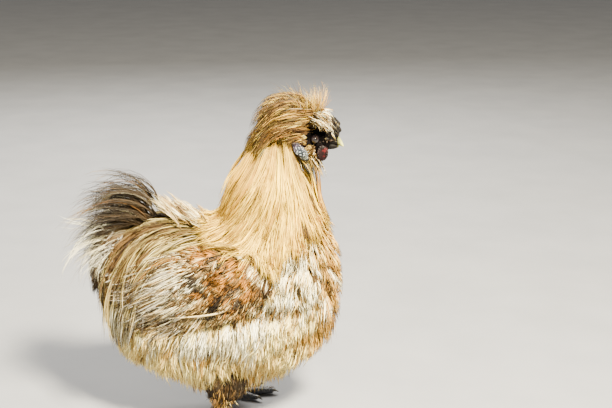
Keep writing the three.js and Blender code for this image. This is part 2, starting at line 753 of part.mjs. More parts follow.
sides.forEach(([name, side], i) => {
  const cheek = headCut.add(billAt("lower", GAP));
  const lobe = ball(onSide(LOBE, side), 1).subtract(headCut).subtract(neckCut);
  add("eye_" + name, ball({ at: mirrored(EYE.at, side), radii: alike(EYE.radius) }, 1), COLOURS.eye, 0.1);
  add("wattle_" + name, wattle(side).subtract(cheek).subtract(billAt("upper", GAP)), COLOURS.wattle, 0.6);
  add("earlobe_" + name, lobe, COLOURS.lobe, 0.6);
  add("wing_" + name, wings[i].made, COLOURS.rust);
});

// The point some way along a toe, or a little under it.
function alongToe({ heading, thick, rise }, side, along, drop = 0) {
  const turn = rad(heading) * side;
  const flat = Math.cos(rad(rise)) * along;
  const height = thick * 0.8 + (rise ? 6 : 0) + Math.sin(rad(rise)) * along - drop;
  return [LEG.ankle[0] + Math.cos(turn) * flat, LEG.ankle[1] * side + Math.sin(turn) * flat, height];
}

function foot(side) {
  const [x, y, z] = mirrored(LEG.ankle, side);
  const parts = [ball({ at: [x, y, z - 1.5], radii: [LEG.pad + 2, LEG.pad, LEG.pad - 1] }, 1)];
  for (const toe of TOES) {
    const { length, thick } = toe;
    const at = (along, drop) => alongToe(toe, side, along, drop);
    const knuckles = [1, 0.92, 1, 0.84, 0.92, 0.7].map((share) => share * thick);
    parts.push(rod([at(0), at(length / 2), at(length)], knuckles, { sides: 6, steps: 2 }));
    const claw = [at(length - 1, -0.8), at(length + CLAW.length / 2, -0.9), at(length + CLAW.length, 1.2)];
    parts.push(rod(claw, [CLAW.radius, CLAW.radius * 0.75, 0.35], { sides: 4, steps: 1 }));
  }
  const outer = TOES.find(({ name }) => name === "outer");
  for (const share of LEG_VANES.toe) {
    const root = alongToe(outer, side, outer.length * share);
    parts.push(vane(root, (110 - 55 * share) * side, -4));
  }
  return join(parts).trimByPlane([0, 0, 1], 0);
}

// A small feather that stands out from the leg at a heading from straight ahead and hangs at a slope.
function vane(start, heading, slope) {
  const way = new THREE.Vector3(1, 0, 0).applyAxisAngle(new THREE.Vector3(0, 1, 0), rad(-slope));
  way.applyAxisAngle(new THREE.Vector3(0, 0, 1), rad(heading));
  const out = new THREE.Vector3(0, 0, 1).addScaledVector(way, -way.z).normalize();
  const at = (share) => point(start).addScaledVector(way, LEG_VANES.length * share);
  const stations = [0, 0.4, 0.7, 1].map((share) => ({ at: at(share), out, way }));
  return lock(stations, LEG_VANES);
}

sides.forEach(([name, side], i) => {
  const { line, radii } = LEG.shank;
  const shankLine = line.map((p) => mirrored(p, side));
  const [x, y] = shankLine[0];
  const vanes = LEG_VANES.shank.map(([z, heading]) => vane([x + 1, y, z], heading * side, -38));
  const shank = join([rod(shankLine, radii, { steps: 3 }), ...vanes]);
  const shankCut = rod(shankLine, radii.map((r) => r + GAP), { steps: 3 });
  add("thigh_" + name, thighs[i].made.subtract(shankCut), COLOURS.cream);
  add("shank_" + name, shank.trimByPlane([0, 0, 1], LEG.ankle[2] + 2), COLOURS.scale);
  add("foot_" + name, foot(side).subtract(shankCut), COLOURS.scale);
});

export default group;
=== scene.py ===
# %% [markdown]
# # A silkie cock, standing
#
# A silkie is a small breed of chicken whose feathers have no hooks to hold them together, so they hang
# loose like hair. This script dresses a packed set of solids as a life-size silkie cock: a bare dark skin
# over the whole body, then the coat in bunches of fine strands, then the comb, bill, eyes, wattles, ear
# lobes, shanks and toes. The solids give the outline and the places, so nothing here is fitted by eye.

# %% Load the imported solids
import math
from typing import NamedTuple

import bpy
import numpy as np
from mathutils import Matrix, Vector


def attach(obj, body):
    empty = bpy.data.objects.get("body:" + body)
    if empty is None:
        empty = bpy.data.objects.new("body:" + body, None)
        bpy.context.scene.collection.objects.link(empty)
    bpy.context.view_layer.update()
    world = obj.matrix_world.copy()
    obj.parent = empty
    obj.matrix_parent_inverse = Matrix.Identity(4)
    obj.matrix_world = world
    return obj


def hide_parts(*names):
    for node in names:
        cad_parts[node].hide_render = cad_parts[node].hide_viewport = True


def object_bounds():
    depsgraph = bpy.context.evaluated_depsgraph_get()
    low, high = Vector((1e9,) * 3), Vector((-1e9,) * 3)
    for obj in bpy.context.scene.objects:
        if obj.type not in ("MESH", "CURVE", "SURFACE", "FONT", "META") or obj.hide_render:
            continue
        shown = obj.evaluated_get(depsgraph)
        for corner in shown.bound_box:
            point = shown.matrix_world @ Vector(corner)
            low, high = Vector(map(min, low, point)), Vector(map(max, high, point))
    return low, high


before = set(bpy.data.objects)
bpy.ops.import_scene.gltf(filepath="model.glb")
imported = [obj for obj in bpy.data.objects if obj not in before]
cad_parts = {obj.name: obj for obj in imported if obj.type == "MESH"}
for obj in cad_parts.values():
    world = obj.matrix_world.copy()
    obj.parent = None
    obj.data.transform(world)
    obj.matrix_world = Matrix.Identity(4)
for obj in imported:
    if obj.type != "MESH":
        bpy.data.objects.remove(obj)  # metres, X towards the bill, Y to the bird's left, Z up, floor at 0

cad_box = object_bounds()
MM = 0.001
FAR = 9.0  # metres, farther than anything on the bird
print("solids:", len(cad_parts), "nodes, box", [round(c, 4) for corner in cad_box for c in corner])

# %% [markdown]
# ## Camera, floor and light
#
# The camera looks at the bird's right side from a little above, through a long lens. The floor is one pale
# plane that runs out of view, and three soft lamps with a pale sky keep the shadows open. The key comes
# from in front of the bird and above it, because its breast and cape are its brightest parts.


# %% Camera, floor and lamps
def start():
    """Leaves edit mode and deselects everything, because an operator acts on all that is selected."""
    if bpy.context.object and bpy.context.object.mode != "OBJECT":
        bpy.ops.object.mode_set(mode="OBJECT")
    bpy.ops.object.select_all(action="DESELECT")


LENS, SENSOR = 72.2, 36.0
EYE_POINT = (0.1125, -1.2557, 0.5705)
LOOK_DOWN = 15.0
FLOOR_WIDTH = 24
MIDDLE = Vector((0.02, 0, 0.18))
WARM = (1.0, 0.96, 0.88)
LAMPS = (  # where each lamp stands, how wide it is, its power and its colour
    ("key", (0.62, -1.0, 1.5), 0.34, 455, (1.0, 0.89, 0.67)),
    ("fill", (-1.1, -1.3, 0.75), 1.2, 14, WARM),
    ("back", (-0.2, 1.5, 1.4), 1.0, 100, WARM),
)
SKY, SKY_STRENGTH = (1.0, 0.96, 0.90), 0.42

start()
bpy.ops.object.camera_add(location=EYE_POINT, rotation=(math.radians(90 - LOOK_DOWN), 0, 0))
camera = bpy.context.object
camera.name = "camera"
camera.data.lens, camera.data.sensor_width = LENS, SENSOR
bpy.context.scene.camera = camera

start()
bpy.ops.mesh.primitive_plane_add(size=FLOOR_WIDTH, location=(0, 0, 0))
floor = bpy.context.object
floor.name = "floor"

for name, at, size, power, colour in LAMPS:
    start()
    bpy.ops.object.light_add(type="AREA", location=at)
    lamp = bpy.context.object
    lamp.name = name
    lamp.data.shape, lamp.data.size = "SQUARE", size
    lamp.data.energy, lamp.data.color = power, colour
    lamp.rotation_euler = (MIDDLE - Vector(at)).to_track_quat("-Z", "Y").to_euler()
world = bpy.data.worlds.new("sky")
world.use_nodes = True
background = world.node_tree.nodes["Background"].inputs
background["Color"].default_value, background["Strength"].default_value = (*SKY, 1), SKY_STRENGTH
bpy.context.scene.world = world
print("camera at", EYE_POINT, "lens", LENS, "mm, lamps:", len(LAMPS))

# %% [markdown]
# ## A way to write finishes
#
# A finish is a small network of shader nodes. Written node by node it would be long, so one class wraps a
# socket and lets Python's own + - * add the Math nodes, and one method makes any other node from its
# type, its settings and what goes into its sockets. Colours go through Mix nodes, never through Math.


# %% Sockets that can be added and multiplied
class Value:
    """A socket of a finish. Adding or multiplying it adds a Math node."""

    def __init__(self, finish, socket):
        self.finish, self.socket = finish, socket

    def calc(self, operation, *others):
        return self.finish.node("ShaderNodeMath", {"operation": operation}, others)

    def __add__(self, other):
        return self.calc("ADD", self, other)

    def __sub__(self, other):
        return self.calc("SUBTRACT", self, other)

    def __mul__(self, other):
        return self.calc("MULTIPLY", self, other)


class Finish:
    """A material made of nodes, on one Principled shader."""

    def __init__(self, name, **constants):
        self.material = bpy.data.materials.new(name)
        self.material.use_nodes = True
        self.tree = self.material.node_tree
        self.shader = self.tree.nodes["Principled BSDF"]
        for key, value in constants.items():
            self.socket(key).default_value = value

    def socket(self, key):
        return self.shader.inputs[key.replace("_", " ").title().replace("Ior", "IOR")]

    def node(self, kind, settings=None, inputs=(), out=0):
        made = self.tree.nodes.new(kind)
        for key, value in (settings or {}).items():
            if key == "stops":
                stops = made.color_ramp.elements
                while len(stops) < len(value):
                    stops.new(1.0)
                for stop, (place, colour) in zip(stops, value):
                    stop.position, stop.color = place, (*colour, 1)
            else:
                setattr(made, key, value)
        for key, value in (inputs.items() if isinstance(inputs, dict) else enumerate(inputs)):
            if isinstance(value, Value):
                self.tree.links.new(value.socket, made.inputs[key])
            elif isinstance(value, tuple) and len(value) == 3 and made.inputs[key].type == "RGBA":
                made.inputs[key].default_value = (*value, 1)
            else:
                made.inputs[key].default_value = value
        return Value(self, made.outputs[out])

    def place(self):
        """Object coordinates."""
        return self.node("ShaderNodeTexCoord", out=3)

    def attribute(self, name):
        return self.node("ShaderNodeAttribute", {"attribute_name": name}, out=2)

    def noise(self, scale, detail=3.0):
        links = {"Vector": self.place(), "Scale": scale, "Detail": detail, "Roughness": 0.55}
        return self.node("ShaderNodeTexNoise", None, links)

    def cells(self, scale):
        return self.node("ShaderNodeTexVoronoi", None, {"Vector": self.place(), "Scale": scale})

    def between(self, value, low, high, to_low=0.0, to_high=1.0):
        """Value's place between two numbers, eased, as a new range."""
        settings = {"interpolation_type": "SMOOTHSTEP"}
        return self.node("ShaderNodeMapRange", settings, (value, low, high, to_low, to_high))

    def mix(self, under, over, share):
        links = {0: share, 6: under, 7: over}
        return self.node("ShaderNodeMix", {"data_type": "RGBA"}, links, out=2)

    def ramp(self, value, *stops):
        return self.node("ShaderNodeValToRGB", {"stops": stops}, (value,))

    def bump(self, height, strength, distance):
        links = {"Strength": strength, "Distance": distance, "Height": height}
        return self.node("ShaderNodeBump", None, links)

    def wear(self, **sockets):
        for key, value in sockets.items():
            self.tree.links.new(value.socket, self.socket(key))


look = Finish("pale_floor", roughness=0.75)
look.wear(
    base_color=look.ramp(look.noise(9.0, 4.0), (0.3, (0.18, 0.185, 0.195)), (0.7, (0.205, 0.21, 0.22))),
    normal=look.bump(look.noise(240.0), 0.15, 0.0005),
)
floor.data.materials.append(look.material)
print("floor finish:", len(look.tree.nodes), "nodes")

# %% [markdown]
# ## The bird's forms
#
# Every surface of the bird is one of a few rounded forms: eggs, bent tubes, and eggs melted together. Each
# is kept as a function that tells how far a point lies outside it, in metres. The same functions shape the
# skin, tell a feather which way is out, and say how high the coat stands, so the skin and the coat fit
# each other and the solids. The sizes are written in millimetres, as they are in the solids.


# %% Distance to an egg, a tube and a melted form
def mm(*numbers):
    return np.array(numbers, float) * MM


def egg(at, radii, tilt=0.0):
    """How far points lie outside an egg shape. A positive tilt lifts its front end."""
    c, s = math.cos(math.radians(tilt)), math.sin(math.radians(tilt))
    at, radii = mm(*at), mm(*radii)

    def form(p):
        d = p - at
        q = np.stack([c * d[:, 0] + s * d[:, 2], d[:, 1], c * d[:, 2] - s * d[:, 0]], 1)
        ratio = np.linalg.norm(q / radii, axis=1)
        slope = np.linalg.norm(q / radii**2, axis=1)
        return ratio * (ratio - 1) / np.maximum(slope, 1e-6)

    return form


def tube(line, radii, squash=1.0):
    """How far points lie outside a round form that follows a line, with a radius at each of its points."""
    flat = np.array([mm(x, y / squash, z) for x, y, z in line])

    def form(p):
        q = p * np.array([1, 1 / squash, 1])
        nearest = np.full(len(p), FAR)
        for a, b, ra, rb in zip(flat, flat[1:], radii, radii[1:]):
            way = b - a
            t = np.clip((q - a) @ way / (way @ way), 0, 1)
            gap = np.linalg.norm(q - a - t[:, None] * way, axis=1)
            nearest = np.minimum(nearest, gap - (ra + (rb - ra) * t) * MM)
        return nearest

    return form


def melt(forms, depth):
    """Several forms melted together over a depth in millimetres."""

    def form(p):
        whole = forms[0](p)
        for other in forms[1:]:
            more = other(p)
            h = np.maximum(depth * MM - np.abs(whole - more), 0) / (depth * MM)
            whole = np.minimum(whole, more) - h * h * depth * MM / 4
        return whole

    return form


def grown(form, by):
    """A form made larger all round by some millimetres."""
    return lambda p: form(p) - by * MM


def unit(v):
    return v / np.maximum(np.linalg.norm(v, axis=-1, keepdims=True), 1e-9)


def outward(form, p):
    """Which way is out of a form at each point, from the distances a little to each side."""
    slopes = [form(p + d) - form(p - d) for d in np.eye(3) * 0.4 * MM]
    return unit(np.stack(slopes, 1))


def settle(form, p, height=0.0, times=3):
    """The points moved to a height over a form, in metres, by a few ever smaller steps."""
    for _ in range(times):
        p = p + outward(form, p) * (height - form(p))[:, None]
    return p


# %% The sizes of the bird, in millimetres
BODY = {
    "belly": ((14, 0, 122), (98, 76, 94)),
    "breast": ((92, 0, 150), (59, 62, 62)),
    "keel": ((82, 0, 112), (58, 60, 66)),
    "throat": ((100, 0, 196), (43, 42, 46)),
    "saddle": ((-36, 0, 156), (80, 66, 68)),
    "fluff": ((-34, 0, 106), (62, 62, 64)),
}
COAT_DEPTH = 13  # from the outline of the down to the skin
NECK_COAT = ([(68, 0, 182), (75, 0, 245), (79, 0, 287), (81, 0, 306)], (62, 51, 38, 26))
NECK_CORE = ([(68, 0, 182), (76, 0, 245), (84, 0, 285), (95, 0, 306)], (44, 33, 24, 15))
NECK_SQUASH = 0.82
SKULL = ((108, 0, 309), (21, 15.5, 17), -6)
CHEEKS = ((113, 0, 298), (17, 13, 12.5), -14)
MUZZLE = ((127, 0, 302), (12, 8.5, 10.5), -12)
KNOB = ((101, 0, 325), (26, 17, 17), 16)
CREST = ((98, 0, 333), (42, 26, 25), 16)
WING = ((10, 58, 163), (68, 23, 36), 10)
WING_DEPTH = 6
SINK = 0.8  # how far the skin lies inside the bare forms of the solids
TAIL = ((-84, 0, 188), (34, 27, 30), -38)
THIGH = ((25, 36, 54), (25, 19, 31), 10)
THIGH_DEPTH = 2
SIDES = ((-1, "right"), (1, "left"))


def other_side(at, side):
    """A place on the bird's left, or its mirror image on the right."""
    return (at[0], at[1] * side, at[2])


body_coat = melt([egg(*size) for size in BODY.values()], 18)
wings_coat = [egg(other_side(WING[0], side), *WING[1:]) for side, _ in SIDES]
flanks = melt([body_coat, *wings_coat], 14)
neck_coat = tube(*NECK_COAT, NECK_SQUASH)
mantle = melt([neck_coat, flanks], 16)
crown = melt([egg(*CREST), neck_coat], 12)
thighs_coat = [egg(other_side(THIGH[0], side), *THIGH[1:]) for side, _ in SIDES]
PARTS = {
    "body": grown(body_coat, -COAT_DEPTH - 0.5),
    "neck": grown(tube(*NECK_CORE, NECK_SQUASH), -SINK),
    "head": melt([egg(*SKULL), egg(*CHEEKS), egg(*MUZZLE)], 5),
    "crest": grown(egg(*KNOB), -SINK),
    "wing_right": grown(wings_coat[0], -WING_DEPTH - 0.5),
    "wing_left": grown(wings_coat[1], -WING_DEPTH - 0.5),
    "tail": grown(egg(*TAIL), -SINK),
    "thigh_right": grown(thighs_coat[0], -THIGH_DEPTH),
    "thigh_left": grown(thighs_coat[1], -THIGH_DEPTH),
}
print("forms:", ", ".join(PARTS))

# %% [markdown]
# ## The markings
#
# The cock is partridge-coloured under a pale ground: straw-gold on the neck, rust and black on the wing
# bow, white on the breast, grey and black in the tail. Each marking is a soft patch at its place on the
# body, broken up by a slow mottle so that its edge isn't a clean line. The skin and every feather ask the
# same functions for their share of each marking, the feather at its root, so the two always agree.


# %% Soft patches and a slow mottle
def mottle(p, size, seed=0):
    """A smooth random number from 0 to 1 at each point, that changes over about size millimetres."""
    draw = np.random.default_rng(900 + seed)
    total = np.zeros(len(p))
    for way, phase in zip(draw.normal(size=(7, 3)), draw.uniform(0, 6.28, 7)):
        total += np.sin(p @ unit(way) * (4.2 / (size * MM)) * draw.uniform(0.6, 1.5) + phase)
    return 0.5 + 0.5 * np.tanh(total / 2.2)


def ease(value, low, high):
    t = np.clip((value - low) / (high - low), 0, 1)
    return t * t * (3 - 2 * t)


def patch(p, at, radii, tilt=0.0, ragged=0.5, seed=0):
    """A soft oval on both sides of the bird, seen from the side: 1 in its middle, 0 outside."""
    c, s = math.cos(math.radians(tilt)), math.sin(math.radians(tilt))
    x, z = p[:, 0] / MM - at[0], p[:, 2] / MM - at[1]
    reach = np.hypot((c * x + s * z) / radii[0], (c * z - s * x) / radii[1])
    return 1 - ease(reach + ragged * (mottle(p, 9, seed) - 0.5), 0.6, 1.25)


# %% Where each marking lies
MARKS = ("gold", "tan", "white", "grey", "streak", "rust", "black")
LUMP = 24  # how far apart the lumps of the down lie
PATCHES = (  # strength, middle, radii, tilt, raggedness, seed of the mottle, and where the patch may lie
    ("rust", 0.68, (42, 178), (27, 25), 40, 1.0, 1, "wing"),
    ("rust", 0.7, (2, 197), (31, 11), 12, 0.9, 2, "flank"),
    ("rust", 0.6, (32, 166), (24, 14), 20, 1.2, 3, "wing"),
    ("rust", 0.45, (106, 226), (11, 30), -16, 0.8, 25, "all"),
    ("rust", 0.25, (114, 321), (9, 5), -10, 0.5, 26, "all"),
    ("black", 0.55, (27, 194), (13, 9), 0, 1.2, 4, "wing"),
    ("black", 0.65, (36, 160), (22, 9), 20, 1.3, 5, "wing"),
    ("black", 0.60, (12, 178), (9, 8), 0, 1.2, 6, "wing"),
    ("black", 0.40, (-16, 188), (10, 14), 30, 1.2, 7, "wing"),
    ("black", 0.7, (-104, 158), (11, 14), 0, 0.8, 8, "rump"),
    ("white", 1.0, (96, 190), (27, 18), 32, 0.4, 11, "breast"),
    # Painted light: the white patches of raised places are made whiter on the lumps of the down.
    ("white", 0.95, (78, 148), (42, 17), 20, 0.6, 12, "raised down"),
    ("white", 0.9, (14, 122), (60, 20), 4, 0.6, 27, "raised down"),
    ("white", 0.55, (116, 156), (22, 26), 0, 0.8, 13, "raised"),
    ("white", 0.95, (-2, 176), (15, 9), 20, 0.6, 14, "wing"),
    ("white", 0.45, (44, 204), (12, 8), 0, 0.9, 28, "flank"),
    ("grey", 0.75, (-40, 156), (34, 22), -14, 0.6, 16, "wing"),
    ("streak", 0.62, (96, 338), (34, 12), -24, 0.7, 21, "all"),
    ("streak", 0.75, (98, 324), (26, 13), -12, 0.6, 22, "all"),
    ("streak", 0.42, (106, 250), (13, 50), -8, 0.7, 29, "all"),
)


def markings(p):
    """The share of each marking at points of the skin."""
    x, y, z = (p / MM).T
    beside, lumps = np.abs(y), mottle(p, LUMP, 3)
    wing = ease(-np.minimum(*[form(p) for form in wings_coat]) / MM, -3, 4) * ease(beside, 34, 46)
    # Painted light: where the down's lumps stand out, the white marking is stronger.
    painted_light_on_lumps = 0.45 + 0.55 * ease(lumps, 0.25, 0.6)
    # Painted shade: the valleys between the lumps of the down get tan and dark streaks.
    painted_shade_in_valleys = ease(190 - z, -16, 16) * (1 - wing) * ease(0.52 - lumps, 0, 0.36)
    where = {
        "all": 1.0,
        "wing": wing,
        "flank": ease(beside, 22, 46),
        "breast": ease(beside, 12, 34),
        "rump": ease(beside, 6, 16),
        "raised": painted_light_on_lumps,
        "raised down": (1 - wing) * painted_light_on_lumps,
    }
    marks = {name: np.zeros(len(p)) for name in MARKS}

    def add(name, share):
        marks[name] = np.maximum(marks[name], share)

    for name, share, at, radii, tilt, ragged, seed, place in PATCHES:
        add(name, share * patch(p, at, radii, tilt, ragged, seed) * where[place])
    add("gold", ease(z, 196, 232) * ease(x, -10, 26) * (0.6 + 0.4 * mottle(p, 22, 24)))
    add("grey", 0.9 * ease(-x, 86, 98) * ease(z, 168, 184))
    add("grey", 0.30 * ease(118 - z, 0, 60) * ease(x, -70, -10) * mottle(p, 26, 17))
    fringe = np.maximum(0.8 * ease(70 - z, -16, 24), 0.95 * ease(x, 106, 132)) * (1 - wing)
    # The tan of the fringe is the down's own colour; the tan and streaks in the valleys are painted shade.
    add("tan", np.maximum(0.85 * fringe, 0.7 * painted_shade_in_valleys))
    add("streak", 0.15 + 0.12 * mottle(p, 12, 20) + 0.2 * painted_shade_in_valleys)
    add("streak", 0.50 * wing)
    add("streak", 0.6 * ease(-x, -30, 0) * ease(z, 182, 206))
    rear = ease(-x, -6, 30) * ease(z, 120, 150) * (1 - wing)
    add("streak", (0.42 + 0.22 * ease(z, 190, 212)) * rear + 0.15 * mottle(p, 14, 23))
    return marks


print("markings:", ", ".join(MARKS), "in", len(PATCHES), "patches")

# %% [markdown]
# ## Finishing a piece
#
# Every piece ends the same way: its place goes into its mesh, it gets its finish, it rides on the body, and
# the solids it stands for are hidden. One helper does this and prints the count of triangles, which has to
# stay under 200,000 a piece.


# %% What every piece gets at its end
def only(piece):
    """Makes a piece the one that operators act on."""
    start()
    piece.select_set(True)
    bpy.context.view_layer.objects.active = piece


def applied():
    """Settles the place of what is selected in its mesh."""
    bpy.ops.object.transform_apply(location=True, rotation=True, scale=True)
    return bpy.context.object


def joined(pieces):
    only(pieces[-1])
    for piece in pieces:
        piece.select_set(True)
    if len(pieces) > 1:
        bpy.ops.object.join()
    return applied()


def finished(piece, name, finish, slot, *nodes):
    """Names a piece, settles its place in its mesh, attaches it to the body and hides its solids."""
    only(piece)
    applied()
    bpy.ops.object.shade_smooth()
    piece.name = piece.data.name = name
    piece.data.materials.clear()
    piece.data.materials.append(finish.material)
    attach(piece, "root")
    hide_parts(*nodes)
    piece.data.calc_loop_triangles()
    print(f"{name}: {len(piece.data.loop_triangles)} triangles")


def corners(piece):
    """A mesh's points as an array."""
    co = np.empty(len(piece.data.vertices) * 3, np.float32)
    piece.data.vertices.foreach_get("co", co)
    return co.reshape(-1, 3).astype(float)


def move_corners(piece, p):
    piece.data.vertices.foreach_set("co", np.ascontiguousarray(p, np.float32).ravel())
    piece.data.update()


def modified(piece, kind, **settings):
    """Adds a modifier and applies it."""
    only(piece)
    made = piece.modifiers.new(kind.lower(), kind)
    for key, value in settings.items():
        setattr(made, key, value)
    bpy.ops.object.modifier_apply(modifier=made.name)
    return piece


def cluster(balls, voxel, detail=4):
    """Eggs added one by one at their size and place, joined, and turned into one even closed skin."""
    added = []
    for at, radii, tilt in balls:
        turn = (0, -math.radians(tilt), 0)
        bpy.ops.mesh.primitive_ico_sphere_add(
            subdivisions=detail, radius=1, location=mm(*at), rotation=turn, scale=mm(*radii)
        )
        added.append(bpy.context.object)
    return modified(joined(added), "REMESH", mode="VOXEL", voxel_size=voxel * MM)


def ball(at, radii, segments, rings, turn=(0, 0, 0)):
    """A round mesh at its size and place, with its poles up before it is turned."""
    start()
    bpy.ops.mesh.primitive_uv_sphere_add(
        segments=segments, ring_count=rings, radius=1, location=mm(*at), rotation=turn, scale=mm(*radii)
    )
    return applied()


def chain(line, radii, squash=1.0, steps=6):
    """Balls along a line, close enough together to melt into a bent tube."""
    balls = []
    for a, b, ra, rb in zip(line, line[1:], radii, radii[1:]):
        for k in range(steps):
            t = k / steps
            r = ra + (rb - ra) * t
            balls.append(([u + (v - u) * t for u, v in zip(a, b)], (r, r * squash, r), 0))
    r = radii[-1]
    return balls + [(line[-1], (r, r * squash, r), 0)]


# %% [markdown]
# ## The skin
#
# Under the feathers the whole bird has one skin, from the face to the rump. It is built the way a modeller
# blocks out an animal: an egg for each mass, joined, turned into one closed surface by a voxel remesh, and
# then every point is settled on the melted form, which rounds the joints off. The mesh is split finer on
# the face in edit mode, because only there is the skin bare: it carries the lids, the brow and the folds.

# %% The bare face: lids, brow and folds
EYE = (121.5, 13.2, 307)
EYE_RADIUS = 4.5
EYE_AXIS = (0.2, 1.0, 0.04)
LID_FORWARD, LID_THICKNESS = 1.2, 1.05
BROW = (((112, 12, 312), (119, 13.6, 314), (127, 11, 312.5)), (2.2, 2.6, 1.8))
PAD = (((112, 12.5, 301), (120, 11.6, 298.6), (128, 8.6, 299)), (2.4, 2.6, 2.2))
FACE_MELT = 6 * MM


def lid(side):
    """A round lid: a ring that stands round the front of the eye."""
    at, axis = mm(*other_side(EYE, side)), unit(np.array(other_side(EYE_AXIS, side), float))

    def form(p):
        q = p - at
        up = q @ axis
        out = np.linalg.norm(q - up[:, None] * axis, axis=1)
        return np.hypot(out - EYE_RADIUS * MM, up - LID_FORWARD * MM) - LID_THICKNESS * MM

    return form


def socket(side):
    at = mm(*other_side(EYE, side))
    return lambda p: np.linalg.norm(p - at, axis=1) - (EYE_RADIUS + 0.05) * MM


folds = [tube([other_side(p, side) for p in line], radii) for line, radii in (BROW, PAD) for side, _ in SIDES]
face = melt([PARTS["head"], *folds], 3)
face = melt([face, lid(-1), lid(1)], 0.9)
body_under = melt([PARTS[k] for k in ("body", "neck", "crest", "tail", "thigh_right", "thigh_left")], 10)
body_under = melt([body_under, PARTS["wing_right"], PARTS["wing_left"]], 6)


def skin_form(p):
    """The whole skin: the parts melted together, and the face with its sockets cut."""
    whole = body_under(p)
    near = (p[:, 0] > 80 * MM) & (p[:, 2] > 270 * MM)
    q = p[near]
    head = face(q)
    for side, _ in SIDES:
        head = np.maximum(head, -socket(side)(q))
    h = np.maximum(FACE_MELT - np.abs(whole[near] - head), 0) / FACE_MELT
    behind = ease(130 - q[:, 0] / MM, 0, 22)
    whole[near] = np.minimum(whole[near], head) - behind * h * h * FACE_MELT / 4
    return whole


print("face:", len(folds), "folds and", len(SIDES), "lids")


# %% Block out the skin and settle it on its form
def shrunk(size, by):
    return size[0], [r - by for r in size[1]], (size[2] if len(size) > 2 else 0)


blocks = [shrunk(size, COAT_DEPTH) for size in BODY.values()]
blocks += chain(*NECK_CORE, NECK_SQUASH)
blocks += [SKULL, CHEEKS, MUZZLE, shrunk(KNOB, 1), shrunk(TAIL, 1)]
for side, _ in SIDES:
    blocks += [shrunk((other_side(WING[0], side), *WING[1:]), WING_DEPTH)]
    blocks += [shrunk((other_side(THIGH[0], side), *THIGH[1:]), THIGH_DEPTH)]
skin = cluster(blocks, 2.2)
FINER = ((0.098, 0.282), (0.112, 0.292))  # the X and Z beyond which the mesh is split once and again
FACE_TOP = 0.323
for x, z in FINER:
    only(skin)
    centres = np.empty(len(skin.data.polygons) * 3)
    skin.data.polygons.foreach_get("center", centres)
    centres = centres.reshape(-1, 3)
    bpy.ops.object.mode_set(mode="EDIT")
    bpy.ops.mesh.select_mode(type="FACE")
    bpy.ops.mesh.select_all(action="DESELECT")
    bpy.ops.object.mode_set(mode="OBJECT")
    chosen = (centres[:, 0] > x) & (centres[:, 2] > z) & (centres[:, 2] < FACE_TOP)
    skin.data.polygons.foreach_set("select", chosen)
    bpy.ops.object.mode_set(mode="EDIT")
    bpy.ops.mesh.subdivide(number_cuts=1)
    bpy.ops.object.mode_set(mode="OBJECT")
points = settle(skin_form, corners(skin), times=5)
x, _, z = (points / MM).T
bare = ease(x, 98, 106) * ease(z, 284, 289)
wrinkles = np.sin(z * 3.1 + 2.2 * mottle(points, 5, 31)) * np.sin(x * 1.3 + 1)
move_corners(skin, points + outward(skin_form, points) * (bare * 0.22 * MM * wrinkles)[:, None])
modified(skin, "TRIANGULATE")
print("skin:", len(skin.data.vertices), "points")

# %% [markdown]
# ## Where a point of the skin lies when it is laid flat
#
# Each piece's colours can be laid out on a flat map, so the skin and the coat need a place for every root
# in their OFBake map. The bird is unrolled along a bent line that runs through it from the tail to the bill:
# how far along that line a point lies is one number, and the angle round it is the other. Each tuft then
# takes a small square at its root's place.

# %% Unroll the skin along the bird
SPINE = [  # the line through the bird, in millimetres
    (-112, 0, 205), (-70, 0, 150), (-10, 0, 128), (60, 0, 135), (76, 0, 220), (92, 0, 305), (140, 0, 312),
]
OVERHANG = 0.06  # how far the skin reaches past each end of the spine
TUFT_PATCH = 0.003  # the size of a tuft's square on the flat map


def unrolled(p):
    """The flat place of points of the skin, from 0 to 1 each way."""
    best, along, angle = np.full(len(p), FAR), np.zeros(len(p)), np.zeros(len(p))
    before = 0.0
    spine = [mm(*at) for at in SPINE]
    for a, b in zip(spine, spine[1:]):
        length = np.linalg.norm(b - a)
        way = (b - a) / length
        t = np.clip((p - a) @ way, 0, length)
        off = p - a - t[:, None] * way
        gap = np.linalg.norm(off, axis=1)
        up = np.array([-way[2], 0, way[0]])
        closer = gap < best
        along = np.where(closer, before + t + ((p - a) @ way - t) * 0.8, along)
        angle = np.where(closer, np.arctan2(off[:, 1], off @ up), angle)
        best = np.minimum(best, gap)
        before += length
    u = 0.06 + 0.88 * np.clip((along + OVERHANG) / (before + 2 * OVERHANG), 0, 1)
    return np.stack([u, 0.02 + 0.96 * (angle / (2 * math.pi) + 0.5)], 1)


def lay_flat(piece, places):
    """Writes a flat place for each point of a mesh into its OFBake map."""
    layer = piece.data.uv_layers.new(name="OFBake")
    index = np.empty(len(piece.data.loops), np.int32)
    piece.data.loops.foreach_get("vertex_index", index)
    layer.data.foreach_set("uv", np.ascontiguousarray(places[index], np.float32).ravel())


def write(piece, name, values):
    """Writes a number on each point of a mesh."""
    made = piece.data.attributes.new(name, "FLOAT", "POINT")
    made.data.foreach_set("value", np.ascontiguousarray(values, np.float32))


# %% Paint the markings on the skin
points = corners(skin)
lay_flat(skin, unrolled(points))
for name, values in markings(points).items():
    write(skin, name, values)
write(skin, "tone", 0.6 * mottle(points, 6, 32))
x, _, z = (points / MM).T
write(skin, "bare", ease(x, 99, 105) * ease(z, 284, 290) * ease(322 - z, 0, 5))
print("marked points:", len(points))
